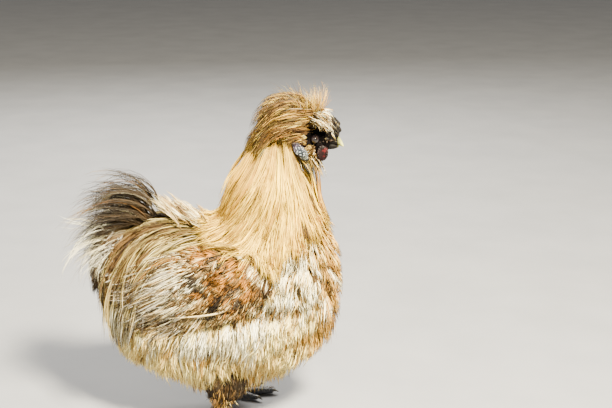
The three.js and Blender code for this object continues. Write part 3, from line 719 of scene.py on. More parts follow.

# %% [markdown]
# ## The skin's finish
#
# A silkie's skin is black with a mulberry cast, finely pebbled and wrinkled on the face. Where feathers
# grow it only shows between them, so there it takes the ground colour of the coat with the same markings,
# made darker with painted shade for the deep of the coat between the strands.

# %% Plumage colours and the skin's finish
CREAM = (0.74, 0.56, 0.29)
SHADOW = (0.05, 0.03, 0.012)  # what lies deep between the feathers
COLOURS = {  # the darkest and the palest strand of each marking
    "gold": ((0.40, 0.21, 0.018), (0.90, 0.62, 0.06)),
    "tan": ((0.22, 0.10, 0.015), (0.78, 0.45, 0.08)),
    "white": ((0.90, 0.80, 0.47), (1.0, 0.98, 0.74)),
    "grey": ((0.06, 0.05, 0.04), (0.78, 0.72, 0.56)),
    "streak": ((0.016, 0.008, 0.003), (0.11, 0.06, 0.018)),
    "rust": ((0.05, 0.015, 0.002), (0.46, 0.19, 0.018)),
    "black": ((0.005, 0.004, 0.003), (0.04, 0.03, 0.02)),
}


def marked(finish, ground):
    """The markings laid over a ground colour, one after another."""
    tone = finish.attribute("tone")
    for name in MARKS:
        ground = finish.mix(ground, finish.mix(*COLOURS[name], tone), finish.attribute(name))
    return ground


look = Finish("dark_skin", roughness=0.55, specular_ior_level=0.03)
pebbles = look.cells(900.0)
creases = look.noise(520.0, 4.0)
mulberry = look.ramp(
    look.noise(260.0, 4.0),
    (0.30, (0.0003, 0.0002, 0.0002)),
    (0.55, (0.0010, 0.0006, 0.0006)),
    (0.78, (0.005, 0.003, 0.003)),
)
# Painted shade: between the feathers the skin takes the coat's colour, darkened towards SHADOW.
down_in_painted_shade = look.mix(marked(look, CREAM), SHADOW, 0.72)
look.wear(
    base_color=look.mix(down_in_painted_shade, mulberry, look.attribute("bare")),
    roughness=look.between(creases, 0.3, 0.7, 0.42, 0.75),
    normal=look.bump(pebbles * 0.5 + creases, 0.8, 0.0006),
)
finished(skin, "skin", look, "skin", "head", "torso")

# %% [markdown]
# ## How the coat is made
#
# A loose feather is a bunch of fine strands that leave one root, run together and part towards their tips.
# The coat is made of such bunches: roots are scattered evenly over a part of the skin, a centre line walks
# from each root along the lie of the coat while it climbs to the coat's outline, and a handful of thin
# three-sided strands follow each line. Everything is worked out in arrays, and each part of the coat
# becomes one joined mesh, because hair particles would not survive the export.

# %% Scatter roots over the skin
mesh = skin.data
mesh.calc_loop_triangles()
trios = np.empty(len(mesh.loop_triangles) * 3, np.int32)
mesh.loop_triangles.foreach_get("vertices", trios)
TRIS = corners(skin)[trios.reshape(-1, 3)]
AREAS = np.linalg.norm(np.cross(TRIS[:, 1] - TRIS[:, 0], TRIS[:, 2] - TRIS[:, 0]), axis=1) / 2
CENTRES = TRIS.mean(1)
NEAREST_PART = np.array(list(PARTS))[np.argmin([form(CENTRES) for form in PARTS.values()], axis=0)]
print("triangles to grow on:", len(TRIS))


def scattered(parts, inside, spacing, seed):
    """Points spread evenly over parts of the skin, about spacing millimetres apart, where inside is true."""
    draw = np.random.default_rng(seed)
    q = CENTRES / MM
    able = np.isin(NEAREST_PART, parts) & inside(*q.T)
    weight = np.where(able, AREAS, 0)
    many = int(weight.sum() / (spacing * MM) ** 2 * 5)
    pick = draw.choice(len(weight), many, p=weight / weight.sum())
    r = np.sqrt(draw.random((many, 1)))
    s = draw.random((many, 1))
    a, b, c = TRIS[pick].transpose(1, 0, 2)
    p = a * (1 - r) + b * r * (1 - s) + c * r * s
    cell = np.floor(p / (spacing * MM * 0.92)).astype(int)
    _, first = np.unique(cell, axis=0, return_index=True)
    return p[np.sort(first)]


# %% Centre lines that follow the lie of the coat
def walked(form, roots, lie, length, rise, tip, steps=8):
    """Lines from their roots along the lie, climbing to tip millimetres over the form's outline."""
    p, base = roots.copy(), form(roots)
    line, outs = [p], []
    for i in range(steps):
        out = outward(form, p)
        outs.append(out)
        way = lie(p)
        way = unit(way - out * np.sum(way * out, 1, keepdims=True))
        share = (i + 1) / steps
        p = p + way * (length / steps)[:, None]
        height = base + (tip * MM - base) * (1 - (1 - share) ** rise)
        p = settle(form, p, height, 2)
        line.append(p)
    outs.append(outward(form, p))
    return np.stack(line, 1), np.stack(outs, 1)


def arched(starts, slopes, fan, length, curl=1.1, steps=10):
    """Lines that rise free of the body and bend over, from one slope to another, in degrees over +X."""
    p = starts.copy()
    line, outs = [p], []
    aside = np.sin(np.radians(fan))
    for i in range(steps + 1):
        slope = np.radians(slopes[:, 0] + (slopes[:, 1] - slopes[:, 0]) * (i / steps) ** curl)
        way = unit(np.stack([np.cos(slope), aside, np.sin(slope)], 1))
        out = np.stack([np.sin(slope), 0 * slope, -np.cos(slope)], 1)
        outs.append(unit(out - way * np.sum(out * way, 1, keepdims=True)))
        if i < steps:
            p = p + way * (length * MM / steps)[:, None]
            line.append(p)
    return np.stack(line, 1), np.stack(outs, 1)


def gathered(line, size, pull, seed):
    """Bends neighbouring lines together towards their tips, as damp or heavy down hangs in clumps."""
    draw = np.random.default_rng(seed)
    root = line[:, 0]
    cell = np.floor((root + draw.random(3) * size * MM) / (size * MM)).astype(int)
    _, heads = np.unique(cell, axis=0, return_index=True)
    gap = np.linalg.norm(root[:, None] - root[heads][None], axis=2)
    head = heads[np.argmin(gap, axis=1)]
    share = pull * np.linspace(0, 1, line.shape[1]) ** 1.6
    return line + (line[head] - line) * share[None, :, None], head


# %% [markdown]
# ## Strands
#
# Each strand is a thin rod with three sides that tapers to a point. It keeps to its bunch at the root and
# wanders off by its own amount towards the tip, and it has its own length and turn, so no two catch the
# light alike. A strand knows how far along it each point lies and draws its marking once, for its whole
# length: a share of a third means that one strand in three has that marking.


# %% Grow the strands of one part of the coat
class Bunch(NamedTuple):
    """What sets one kind of feather apart, with its sizes in millimetres."""

    strands: int
    rings: int  # points along a strand
    width: float  # how thick a strand is
    narrow: float  # half the bunch's breadth at its root
    wide: float  # and at its tip
    bow: float  # how far a strand bends aside
    wave: float
    lift: float  # how far the tips part outwards
    shortest: float  # as a share of the longest
    point: float = 0.0  # how far the tips draw together again
    together: float = 0.62  # how much the strands of a bunch share their markings


def grown_coat(line, outs, kind, seed):
    """Strands round centre lines. Returns their points and how far along its strand each one lies."""
    draw = np.random.default_rng(seed)
    bunches, last = line.shape[0], line.shape[1] - 1
    many, rings = kind.strands, kind.rings
    way = unit(np.gradient(line, axis=1))
    across = unit(np.cross(outs, way))
    shape = (bunches, many, 1)
    place = np.linspace(-1, 1, many)[None, :, None] + draw.normal(0, 0.35, shape)
    share = draw.uniform(kind.shortest, 1.0, shape)
    t = np.linspace(0, 1, rings + 1)[None, None, :] * share
    at = np.minimum(t * last, last - 1e-6)
    low = at.astype(int)
    part = (at - low)[..., None]
    row = np.arange(bunches)[:, None, None]
    centre = line[row, low] * (1 - part) + line[row, low + 1] * part
    side = unit(across[row, low] * (1 - part) + across[row, low + 1] * part)
    out = unit(outs[row, low] * (1 - part) + outs[row, low + 1] * part)
    off = place * (kind.narrow + (kind.wide - kind.narrow) * t**1.3) * (1 - kind.point * t**2.5)
    bow = draw.normal(0, 1, shape) * kind.bow * np.sin(math.pi * t)
    wave = kind.wave * np.sin(t * draw.uniform(5, 11, shape) + draw.uniform(0, 6.28, shape)) * t
    lift = kind.lift * (draw.normal(0, 1, shape) * t**1.5 - place**2 * 0.25 * t)
    p = centre + (side * (off + bow + wave)[..., None] + out * lift[..., None]) * MM
    turn = draw.uniform(-0.9, 0.9, shape)[..., None]
    flat, ridge = side * np.cos(turn) + out * np.sin(turn), out * np.cos(turn) - side * np.sin(turn)
    u = np.linspace(0, 1, rings + 1)
    breadth = np.minimum.reduce([0.5 + 2.0 * u, np.ones_like(u), 2.6 * (1 - u) + 0.12]) * kind.width * MM / 2
    breadth = (breadth[None, None] * draw.uniform(0.75, 1.25, shape))[..., None]
    ring = np.stack([p + flat * breadth, p - flat * breadth, p + ridge * breadth * 0.9], 3)
    body = ring[:, :, :rings].reshape(bunches * many, rings * 3, 3)
    points = np.concatenate([body, p[:, :, rings].reshape(-1, 1, 3)], 1)
    lengthwise = np.concatenate([np.repeat(t[..., :rings], 3, 2), t[..., rings:]], 2)
    return points, lengthwise.reshape(bunches * many, -1)


def strand_faces(rings):
    """The triangles of one strand: a cap, the sides, and a point."""
    faces = [(0, 2, 1)]
    for k in range(rings - 1):
        for a, b in ((0, 1), (1, 2), (2, 0)):
            low, high = 3 * k, 3 * k + 3
            faces += [(low + a, low + b, high + b), (low + a, high + b, high + a)]
    end = 3 * (rings - 1)
    return np.array(faces + [(end + a, end + b, end + 3) for a, b in ((0, 1), (1, 2), (2, 0))])


MARGIN = 0.4 * MM


def kept_inside(points, roots):
    """Shortens the strands that would reach past the solids' box, each towards its own root."""
    low, high = np.array(cad_box[0]) + MARGIN, np.array(cad_box[1]) - MARGIN
    over = np.maximum(points - high, low - points).max(2).max(1)
    for row in np.flatnonzero(over > 0):
        root = roots[row]
        reach = points[row] - root
        with np.errstate(divide="ignore", invalid="ignore"):
            limit = np.where(reach > 0, (high - root) / reach, np.where(reach < 0, (low - root) / reach, FAR))
        points[row] = root + reach * max(0.2, min(1.0, limit.min()))
    return points


# %% A coat piece from its strands
def coat(name, line, outs, kind, finish, slot, *nodes, seed, clump=None, extra=None):
    """Builds one part of the coat as a joined mesh."""
    draw = np.random.default_rng(seed + 5000)
    roots, many = line[:, 0], kind.strands
    points, lengthwise = grown_coat(line, outs, kind, seed)
    points = kept_inside(points, np.repeat(roots, many, 0))
    strands, each = points.shape[:2]
    faces = (strand_faces(kind.rings)[None] + (np.arange(strands) * each)[:, None, None]).reshape(-1, 3)
    made = bpy.data.meshes.new(name)
    made.vertices.add(strands * each)
    made.vertices.foreach_set("co", np.ascontiguousarray(points, np.float32).ravel())
    made.loops.add(len(faces) * 3)
    made.loops.foreach_set("vertex_index", faces.astype(np.int32).ravel())
    made.polygons.add(len(faces))
    made.polygons.foreach_set("loop_start", np.arange(len(faces), dtype=np.int32) * 3)
    made.update(calc_edges=True)
    made.validate()
    piece = bpy.data.objects.new(name, made)
    bpy.context.scene.collection.objects.link(piece)
    tuft_tone = draw.random(len(roots))
    if clump is not None:
        tuft_tone = 0.5 * tuft_tone + 0.5 * draw.random(len(roots))[clump]
    tone = ease(0.72 * np.repeat(tuft_tone, many) + 0.28 * draw.random(strands), 0.12, 0.88)
    marks = markings(roots)
    if extra:
        extra(roots, marks)
    for key in MARKS:
        bunch_draw, own_draw = np.repeat(draw.random(len(roots)), many), draw.random(strands)
        spread = kind.together * bunch_draw + (1 - kind.together) * own_draw
        chosen = ease(np.repeat(marks[key], many) - spread, -0.12, 0.12)
        write(piece, key, np.repeat(chosen, each))
    write(piece, "along", lengthwise.ravel())
    write(piece, "tone", np.repeat(tone, each))
    flat = np.repeat(unrolled(roots), many, 0)[:, None] + np.zeros((strands, each, 2))
    flat[..., 0] += TUFT_PATCH * ((np.arange(strands) % many) / many - 0.5)[:, None]
    flat[..., 1] += TUFT_PATCH * (lengthwise - 0.5)
    lay_flat(piece, flat.reshape(-1, 2))
    finished(piece, name, finish, slot, *nodes)


# %% [markdown]
# ## The finish of loose feather
#
# Each strand has a tone of its own, most of it shared with its bunch, and takes its colour from a deep, a
# middle and a pale one by that tone, so the coat never looks like one moulded surface. It is darker near
# its root, where the others shade it, and some feathers turn paler at the tip. The finish is matt, and a fine
# grain roughens it.


# %% Feather finishes
def feather(name, deep, middle, pale, tip=None):
    """Loose feather in three colours by the strand's tone, under the markings."""
    look = Finish(name, roughness=0.7, specular_ior_level=0.12)
    along, tone = look.attribute("along"), look.attribute("tone")
    ground = look.ramp(tone, (0.0, deep), (0.42, middle), (1.0, pale))
    if tip:
        ground = look.mix(ground, tip, look.between(along, 0.66, 0.94) * look.between(tone, 0.35, 0.75))
    ground = marked(look, ground)
    root_shade = look.between(along, 0.0, 0.55, 0.34, 1.0)
    open_to_light = root_shade * look.between(look.noise(70.0), 0.3, 0.7, 0.86, 1.0)
    look.wear(
        base_color=look.mix(look.mix(ground, SHADOW, 0.8), ground, open_to_light),
        roughness=look.between(tone, 0.0, 1.0, 0.55, 0.8),
        normal=look.bump(look.noise(2600.0, 2.0), 0.25, 0.0002),
    )
    print("finish:", name)
    return look


down = feather("loose_down", (0.34, 0.20, 0.05), (0.74, 0.54, 0.16), (0.99, 0.87, 0.36))
cape = feather("cape_feather", (0.10, 0.055, 0.008), (0.56, 0.35, 0.04), (0.92, 0.67, 0.09))
topknot = feather("crest_feather", (0.012, 0.008, 0.002), (0.08, 0.055, 0.011), (0.46, 0.36, 0.09))
back = feather(
    "saddle_feather", (0.040, 0.030, 0.008), (0.17, 0.125, 0.035), (0.66, 0.53, 0.18), tip=(0.84, 0.72, 0.36)
)
wing_bow = feather("wing_feather", (0.11, 0.06, 0.02), (0.46, 0.30, 0.10), (0.98, 0.86, 0.46))
plume = feather(
    "tail_feather", (0.002, 0.0016, 0.0014), (0.005, 0.004, 0.0032), (0.03, 0.024, 0.016),
    tip=(0.50, 0.33, 0.14),
)

# %% [markdown]
# ## Drawing a form out along a line
#
# The bill, the claws and the wing's bare shaft are all tapered rods. A modeller makes one by extruding a
# circle from point to point and resizing it each time, and then smooths it. The helper below does that with
# the same operators, so a bill needs only its line and the radius at each point.


# %% Extrude a circle along a line
def through(points, many):
    """Points on a smooth curve through a few given ones (a Catmull-Rom curve)."""
    points = np.array(points, float)
    ends = np.concatenate([[2 * points[0] - points[1]], points, [2 * points[-1] - points[-2]]])
    made = []
    for k in np.linspace(0, len(points) - 1, many):
        i = min(int(k), len(points) - 2)
        t, (a, b, c, d) = k - i, ends[i : i + 4]
        bend = (c - a) * t + (2 * a - 5 * b + 4 * c - d) * t**2 + (3 * b - a - 3 * c + d) * t**3
        made.append(b + bend / 2)
    return np.array(made)


def tapered(many, places, radii):
    """Radii for the points of a rod, from a few at places between 0 and 1."""
    return np.interp(np.linspace(0, 1, many), places, radii)


def drawn_out(line, radii, sides=12, squash=1.0, smooth=1):
    """A closed rod along a line of points in millimetres, with a radius at each."""
    start()
    line = np.array(line) * MM
    turn = Vector(line[1] - line[0]).to_track_quat("Z", "Y").to_euler()
    bpy.ops.mesh.primitive_circle_add(
        vertices=sides, radius=radii[0] * MM, fill_type="NGON", location=line[0], rotation=turn
    )
    piece = applied()
    bpy.ops.object.mode_set(mode="EDIT")
    bpy.ops.mesh.select_all(action="SELECT")
    for a, b, ra, rb in zip(line, line[1:], radii, radii[1:]):
        bpy.ops.mesh.extrude_region_move(TRANSFORM_OT_translate={"value": Vector(b - a)})
        bpy.ops.transform.resize(value=(rb / ra,) * 3, center_override=b)
    bpy.ops.mesh.select_all(action="SELECT")
    bpy.ops.mesh.normals_make_consistent(inside=False)
    bpy.ops.object.mode_set(mode="OBJECT")
    p = corners(piece)
    p[:, 1] = line[0][1] + (p[:, 1] - line[0][1]) * squash
    move_corners(piece, p)
    return modified(piece, "SUBSURF", levels=smooth, render_levels=smooth)


# %% [markdown]
# ## Dressing a part of the body
#
# One call now dresses one part: it scatters the roots, walks the lines, gathers them into clumps, and grows
# the strands. What differs from part to part is where the roots are, which way the feathers lie, how long
# they are, and how wide a bunch spreads. A slow mottle lifts some clumps over others, which gives the coat
# its soft lumps.


# %% One call per part of the coat
def dressed(
    name, parts, inside, form, lie, kind, finish, slot, *nodes, seed, spacing, length, tip, rise=1.6,
    clump=8, pull=0.5, lean=0.12, lumps=1.5, extra=None, more=None, loose=None,
):
    """Feathers over part of the skin, with every size in millimetres.

    Length and tip may be functions of the roots. Rise says how soon the feathers climb to the height of
    their tips, clump how large a clump is, pull how far it draws together, lean how much single feathers
    stray, and lumps how uneven the outline is.
    """
    draw = np.random.default_rng(seed)
    roots = scattered(parts, inside, spacing, seed)
    many, places = len(roots), (roots / MM).T
    sway = draw.normal(0, lean, (many, 3))
    long = length(*places) if callable(length) else np.full(many, float(length))
    long = long * draw.uniform(0.78, 1.12, many) * MM
    over = (tip(*places) if callable(tip) else tip) + draw.normal(0, 1.1, many)
    over += lumps * 2 * (mottle(roots, LUMP, 3) - 0.5)
    line, outs = walked(form, roots, lambda p: unit(lie(p / MM, roots / MM)) + sway, long, rise, over)
    if loose:
        line = hung(line, long, loose(*places))
    line, head = gathered(line, clump, pull, seed)
    if more:
        line, outs = (np.concatenate(pair) for pair in zip((line, outs), more))
        head = np.concatenate([head, np.arange(many, len(line))])
    print(f"{name}: {len(line)} bunches of {kind.strands}")
    coat(name, line, outs, kind, finish, slot, *nodes, seed=seed, clump=head, extra=extra)


SWING = 8 * MM  # how far a hanging feather stands off from its root


def hung(line, long, share):
    """Lets lines leave the surface and hang straight down from their roots, by a share of each line."""
    t = np.linspace(0, 1, line.shape[1])[None, :, None]
    out = (unit(line[:, 2] - line[:, 0]) * np.array([1, 1, 0]))[:, None]
    free = line[:, :1] + out * SWING * t**0.5 + np.array([0, 0, -1.0]) * t * long[:, None, None]
    return line + (free - line) * share[:, None, None] * np.minimum(1, 1.6 * t)


def heading(x, y, z):
    """Three numbers or arrays as one array of directions."""
    return np.stack(np.broadcast_arrays(*np.atleast_1d(x, y, z)), 1).astype(float)


def raised(**shares):
    """Marks that a piece adds to the ones of its place."""

    def change(roots, marks):
        for key, value in shares.items():
            value = value(*(roots / MM).T) if callable(value) else value
            marks[key] = np.maximum(marks[key], value)

    return change


# %% [markdown]
# ## Breast, belly and rump: the down
#
# Most of the bird is a deep soft down that hangs like cotton wool. Its tufts are short, spread wide, and
# cling together in clumps with shadow between them. It runs under the wing and the saddle feathers, whose
# long strands cover it. It is split into four pieces from front to rear to keep each one light.

# %% Grow the down
DOWN = Bunch(9, 3, width=0.95, narrow=1.0, wide=6.4, bow=1.9, wave=0.9, lift=1.9, shortest=0.5, point=0.5)
DOWN_PIECES = (  # from where to where along the bird each one grows, and how far apart its roots are
    ("down_front", 88, 200, 5.6),
    ("down_breast", 50, 88, 5.3),
    ("down_middle", -2, 50, 5.4),
    ("down_rear", -200, -2, 6.05),
)


def under_wing(x, y, z):
    """Where the wing lies so close that nothing grows behind it."""
    return (np.abs(y) > 40) & (x < 56) & (x > -48) & (z > 146) & (z < 184)


def on_saddle(x, y, z):
    """The back, and the sides of the rump above the wing's end."""
    steep = np.degrees(np.arctan2(np.abs(y), z - 150))
    return (x < 22) & (steep < np.interp(-x, [-22, 0, 70], [30, 52, 88]))


def hangs(p, roots):
    return heading(np.where(p[:, 0] < -60, -0.5, -0.22), 0, -1)


def hem(x):
    """How high the lowest feathers end over the floor."""
    return np.interp(x, [-96, -70, -34, 0, 46, 80, 96, 116], [104, 78, 50, 37, 31, 40, 52, 70])


def down_length(x, y, z):
    return np.where(z < 92, np.clip(z - hem(x) + 3, 11, 38), np.where(x > 60, 34, 42))


def down_loose(x, y, z):
    """The lower edge hangs free. Higher up every feather follows the body."""
    return 0.9 * ease(96 - z, 0, 26)


def down_tip(x, y, z):
    return 0.5 - 7.0 * ease(x, 84, 116) * ease(112 - z, 0, 40)


def down_on(x_from, x_to):
    def inside(x, y, z):
        return (x >= x_from) & (x < x_to) & ~under_wing(x, y, z) & ~on_saddle(x, y, z)

    return inside


for i, (name, x_from, x_to, gap) in enumerate(DOWN_PIECES):
    dressed(
        name, ["body"], down_on(x_from, x_to), body_coat, hangs, DOWN, down, "plumage", "torso", seed=10 + i,
        spacing=gap, length=down_length, tip=down_tip, clump=15, pull=0.55, lean=0.22, lumps=5.6,
        loose=down_loose,
    )

# %% [markdown]
# ## The saddle
#
# Over the back and rump lie long narrow feathers that stream backwards and then hang down past the wing in
# slow arcs. They are straw with olive and dark streaks and end in pale points. The last arcs hang free
# behind the rump, in the same mesh. A pale pointed tuft stands up in the middle of the back. It is grown
# from free arches too, as a piece of its own.

# %% Grow the saddle and the tuft on the back
SADDLE = Bunch(8, 5, width=0.85, narrow=1.0, wide=4.0, bow=1.3, wave=0.4, lift=1.2, shortest=0.6, point=0.8)
TUFT = SADDLE._replace(rings=4, width=0.8, narrow=0.8, wide=4.6, bow=1.8)


def streams(p, roots):
    """Backwards over the back, and ever steeper down towards the rump."""
    steep = 0.3 + np.maximum(0, -22 - p[:, 0]) / 34 + np.abs(p[:, 1]) / 110
    return heading(-1, 0.2 * np.sign(roots[:, 1]), -steep)


def saddle_length(x, y, z):
    return np.interp(x, [-90, -50, 10], [78, 104, 84])


def back_tuft():
    """Short feathers that stand up and back from the middle of the back, the rear ones longest."""
    draw = np.random.default_rng(41)
    many = 130
    back_by = draw.uniform(0, 36, many)
    off = np.stack([-back_by, draw.normal(0, 8, many), 0.1 * back_by + draw.uniform(-3, 2, many)], 1)
    slopes = np.stack([draw.normal(124, 8, many), draw.normal(156, 9, many)], 1)
    fan = draw.normal(0, 10, many)
    length = 16 + 0.6 * back_by + draw.uniform(0, 10, many)
    return arched(mm(12, 0, 212) + off * MM, slopes, fan, length, steps=6)


def rump_arcs():
    """Loose arcs behind the rump."""
    draw = np.random.default_rng(42)
    many = 110
    beside = draw.uniform(-1, 1, many)
    back_by = draw.uniform(38, 86, many)
    starts = np.stack([-back_by, beside * 48, 222 - 0.4 * (back_by - 40) - 34 * beside**2], 1) * MM
    starts = settle(flanks, starts, -3 * MM, 4)
    slopes = np.stack([draw.normal(232, 7, many), draw.normal(278, 5, many)], 1)
    fan = beside * 12 + draw.normal(0, 4, many)
    return arched(starts, slopes, fan, draw.uniform(56, 96, many), curl=0.6, steps=8)


def pale_locks(x, y, z):
    """Pale strands low on the rump."""
    return 0.5 * ease(-x, 20, 50) * ease(x + 90, 0, 16) * ease(208 - z, 0, 24)


def tuft_marks(roots, marks):
    for key, share in (("white", 0.16), ("grey", 0.0), ("streak", 0.2)):
        marks[key] = np.full(len(roots), share)
    marks["gold"], marks["rust"] = marks["gold"] * 0.4, marks["rust"] * 0


dressed(
    "saddle", ["body"], on_saddle, flanks, streams, SADDLE, back, "plumage", "torso", seed=20,
    spacing=5.75, length=saddle_length, tip=3.0, rise=1.7, clump=9, pull=0.45, lean=0.1,
    more=rump_arcs(), extra=raised(white=pale_locks),
)
coat("back_tuft", *back_tuft(), TUFT, wing_bow, "plumage", "torso", seed=43, extra=tuft_marks)

# %% [markdown]
# ## The cape
#
# From the nape to the shoulders falls the cape, a mantle of long narrow feathers: straw-gold strands side
# by side, with a few thin dark ones. They follow the neck closely and end in a pointed hem
# that is lowest at the side of the shoulder. The bare ear lobe needs room, so nothing grows over it.

# %% Grow the cape
CAPE = Bunch(9, 5, width=0.85, narrow=1.2, wide=4.8, bow=1.1, wave=0.3, lift=0.9, shortest=0.62, point=0.5)
LOBE = ((106.5, 14.4, 294.5), (12.6, 2.6, 5.6), 51)  # the ear lobe's place, its size and its slant


def off_lobe(x, y, z, room=1.0):
    """True away from the ear lobes, which slant down and forward."""
    (ahead, _, up), _, slant = LOBE
    c, s = math.cos(math.radians(slant)), math.sin(math.radians(slant))
    along, aside = (x - ahead) * c - (z - up) * s, (x - ahead) * s + (z - up) * c
    return (np.hypot(along / (15 * room), aside / (8.5 * room)) > 1) | (np.abs(y) < 7)


def cape_length(x, y, z):
    middle = 68 + 28 * (z - 182) / 124
    facing = (x - middle) / np.hypot(x - middle, y)
    behind = facing + 0.3
    hem = 164 + np.where(behind > 0, 36, 80) * behind**2
    return np.clip(1.12 * (z - hem) + 18, 14, 92)


def cape_tip(x, y, z):
    by_lobe = 8 * ease(x, 82, 98) * ease(z, 268, 286) * ease(np.abs(y), 5, 11)
    at_throat = 2.8 * ease(x, 86, 102) * ease(z, 212, 236)
    over_wing = 4.5 * ease(228 - z, 0, 22) * ease(np.abs(y), 22, 36) * ease(84 - x, 0, 14)
    return 2.0 + over_wing - by_lobe - at_throat - 6 * ease(72 - x, -8, 12) * ease(z, 236, 270)


def cape_falls(p, roots):
    back_by = np.interp(p[:, 0], [35, 57, 80, 92, 110], [0.85, 0.6, 0.3, 0.2, -0.08])
    bent = 0.5 + 0.5 * ease(p[:, 2], 190, 230) - 0.6 * ease(p[:, 2], 252, 280)
    return heading(-back_by * bent, 0, -1)


def on_cape(x, y, z):
    return (z > 200) & (z < 318) & ((x < 92) | (z < 291)) & off_lobe(x, y, z)


dressed(
    "cape", ["neck", "head"], on_cape, mantle, cape_falls, CAPE, cape, "hackle", "neck", seed=30,
    spacing=5.8, length=cape_length, tip=cape_tip, rise=2.6, clump=8, pull=0.4, lean=0.07,
)

# %% [markdown]
# ## The crest
#
# The crest springs from the knob on the skull and sweeps back over the nape. Its strands run from dark
# brown to straw, with heavy streaks above the ear. A short pale forelock falls towards the comb, and a
# thin see-through spray stands up at the very front.

# %% Grow the crest, the forelock and the spray
CREST_KIND = Bunch(
    8, 5, width=0.58, narrow=0.8, wide=4.4, bow=1.6, wave=0.6, lift=1.2, shortest=0.36, point=0.35,
    together=0.3,
)
SPRAY = Bunch(5, 4, width=0.3, narrow=1.5, wide=6.5, bow=2.4, wave=1.6, lift=3.0, shortest=0.35)
FORELOCK = Bunch(
    8, 4, width=0.6, narrow=0.6, wide=2.6, bow=0.8, wave=0.4, lift=0.7, shortest=0.5, point=0.3,
    together=0.3,
)


def sweeps(p, roots):
    return heading(-1, 0.12 * np.sign(roots[:, 1]), 0.06 - np.maximum(0, 106 - p[:, 0]) / 32)


def on_crest(x, y, z):
    over_lobe = (x > 90) & (x < 118) & (z < 320) & (np.abs(y) > 7)
    return (x < 125) & (z > 314 - np.maximum(0, 100 - x) * 0.35) & (x > 62) & ~over_lobe


def crest_tip(x, y, z):
    return 0.5 - 9.0 * ease(102 - x, 0, 32)


def crest_marks(roots, marks):
    marks["rust"] = np.maximum(marks["rust"] * 0.4, 0.32 * patch(roots, (106, 320), (20, 9), -12, 0.6, 30))
    marks["gold"] = marks["gold"] * 0.35
    marks["tan"] = np.maximum(marks["tan"], 0.3)
    marks["streak"] = np.maximum(marks["streak"], 0.5 * ease(roots[:, 0] / MM, 78, 92))


dressed(
    "crest", ["crest", "head", "neck"], on_crest, crown, sweeps, CREST_KIND, topknot, "hackle", "crest",
    seed=50, spacing=3.22, length=50, tip=crest_tip, rise=2.2, clump=7, pull=0.5, lean=0.14,
    extra=crest_marks,
)


def spray():
    """Thin pale hairs that stand up over the forehead and lean back."""
    draw = np.random.default_rng(52)
    many = 240
    back_by = draw.uniform(0, 34, many)
    off = np.stack([-back_by, draw.normal(0, 8, many), draw.uniform(-4, 3, many)], 1)
    first = 66 + 1.8 * back_by + draw.normal(0, 14, many)
    last = 102 + 2.0 * back_by + draw.normal(0, 16, many)
    fan = off[:, 1] * 2.2 + draw.normal(0, 6, many)
    length = draw.uniform(14, 38, many)
    return arched(mm(127, 0, 334) + off * MM, np.stack([first, last], 1), fan, length, steps=8)


def forelock():
    """Short pale feathers that arch forward from the forehead and fall on the comb."""
    draw = np.random.default_rng(54)
    many = 240
    ahead = draw.uniform(-7, 8, many)
    height = draw.uniform(0, 1, many) * (8 + np.maximum(0, ahead)) - np.maximum(0, ahead)
    off = np.stack([ahead, draw.normal(0, 7.5, many), height], 1)
    slopes = np.stack([draw.normal(-6, 14, many), draw.normal(-84, 9, many)], 1)
    fan = off[:, 1] * 4 + draw.normal(0, 8, many)
    return arched(mm(119, 0, 326) + off * MM, slopes, fan, draw.uniform(16, 29, many), steps=6)


pale = raised(white=0.6, gold=0.6, tan=0.05)
coat("spray", *spray(), SPRAY, topknot, "hackle", "crest", seed=53, extra=raised(grey=0.3, streak=0.3))
coat("forelock", *forelock(), FORELOCK, down, "hackle", "crest", seed=55, extra=pale)

# %% [markdown]
# ## The wings
#
# The folded wing has two layers: short ragged coverts over the shoulder, and shredded flight feathers
# behind them that hang past the rump in pale wisps. They all follow the flank's outline, into which the
# wing's own egg is melted, and both sides are grown the same way.

# %% Grow the wings
COVERT = Bunch(9, 3, width=0.95, narrow=1.2, wide=4.6, bow=0.9, wave=0.4, lift=1.2, shortest=0.5, point=0.5)
FLIGHT = Bunch(9, 5, width=0.7, narrow=1.2, wide=7.0, bow=2.4, wave=1.0, lift=2.0, shortest=0.45, point=0.35)


def on_shoulder(x, y, z):
    return (x > -14) & (np.abs(y) > 44)


def on_wing_end(x, y, z):
    return (x < 14) & (np.abs(y) > 50)


def coverts_lie(p, roots):
    return heading(-1, 0, -0.95)


def flights_lie(p, roots):
    return heading(-1, 0, -0.5 - np.maximum(0, p[:, 0]) / 90)


def pale_flights(roots, marks):
    for key, share in (("rust", 0.12), ("black", 0.6), ("streak", 0.9)):
        marks[key] = marks[key] * share
    marks["white"] = np.maximum(marks["white"], 0.46)
    marks["grey"] = np.maximum(marks["grey"], 0.36)


for side, name in SIDES:
    part = "wing_" + name
    dressed(
        "coverts_" + name, [part], on_shoulder, flanks, coverts_lie, COVERT, wing_bow, "wing_feather", part,
        seed=60 + side, spacing=4.3, length=23, tip=1.5, clump=7, pull=0.5, lean=0.2, lumps=1.2,
    )
    dressed(
        "flights_" + name, [part], on_wing_end, flanks, flights_lie, FLIGHT, wing_bow, "wing_feather", part,
        seed=64 + side, spacing=5.4, length=66, tip=2.5, clump=9, pull=0.4, lean=0.14, extra=pale_flights,
    )

# %% [markdown]
# ## The bare shaft
#
# Along the lower edge of each wing shows the pale shaft of one long flight feather, stripped of its barbs.
# It is drawn out as a thin rod that is thickest a third of the way along.

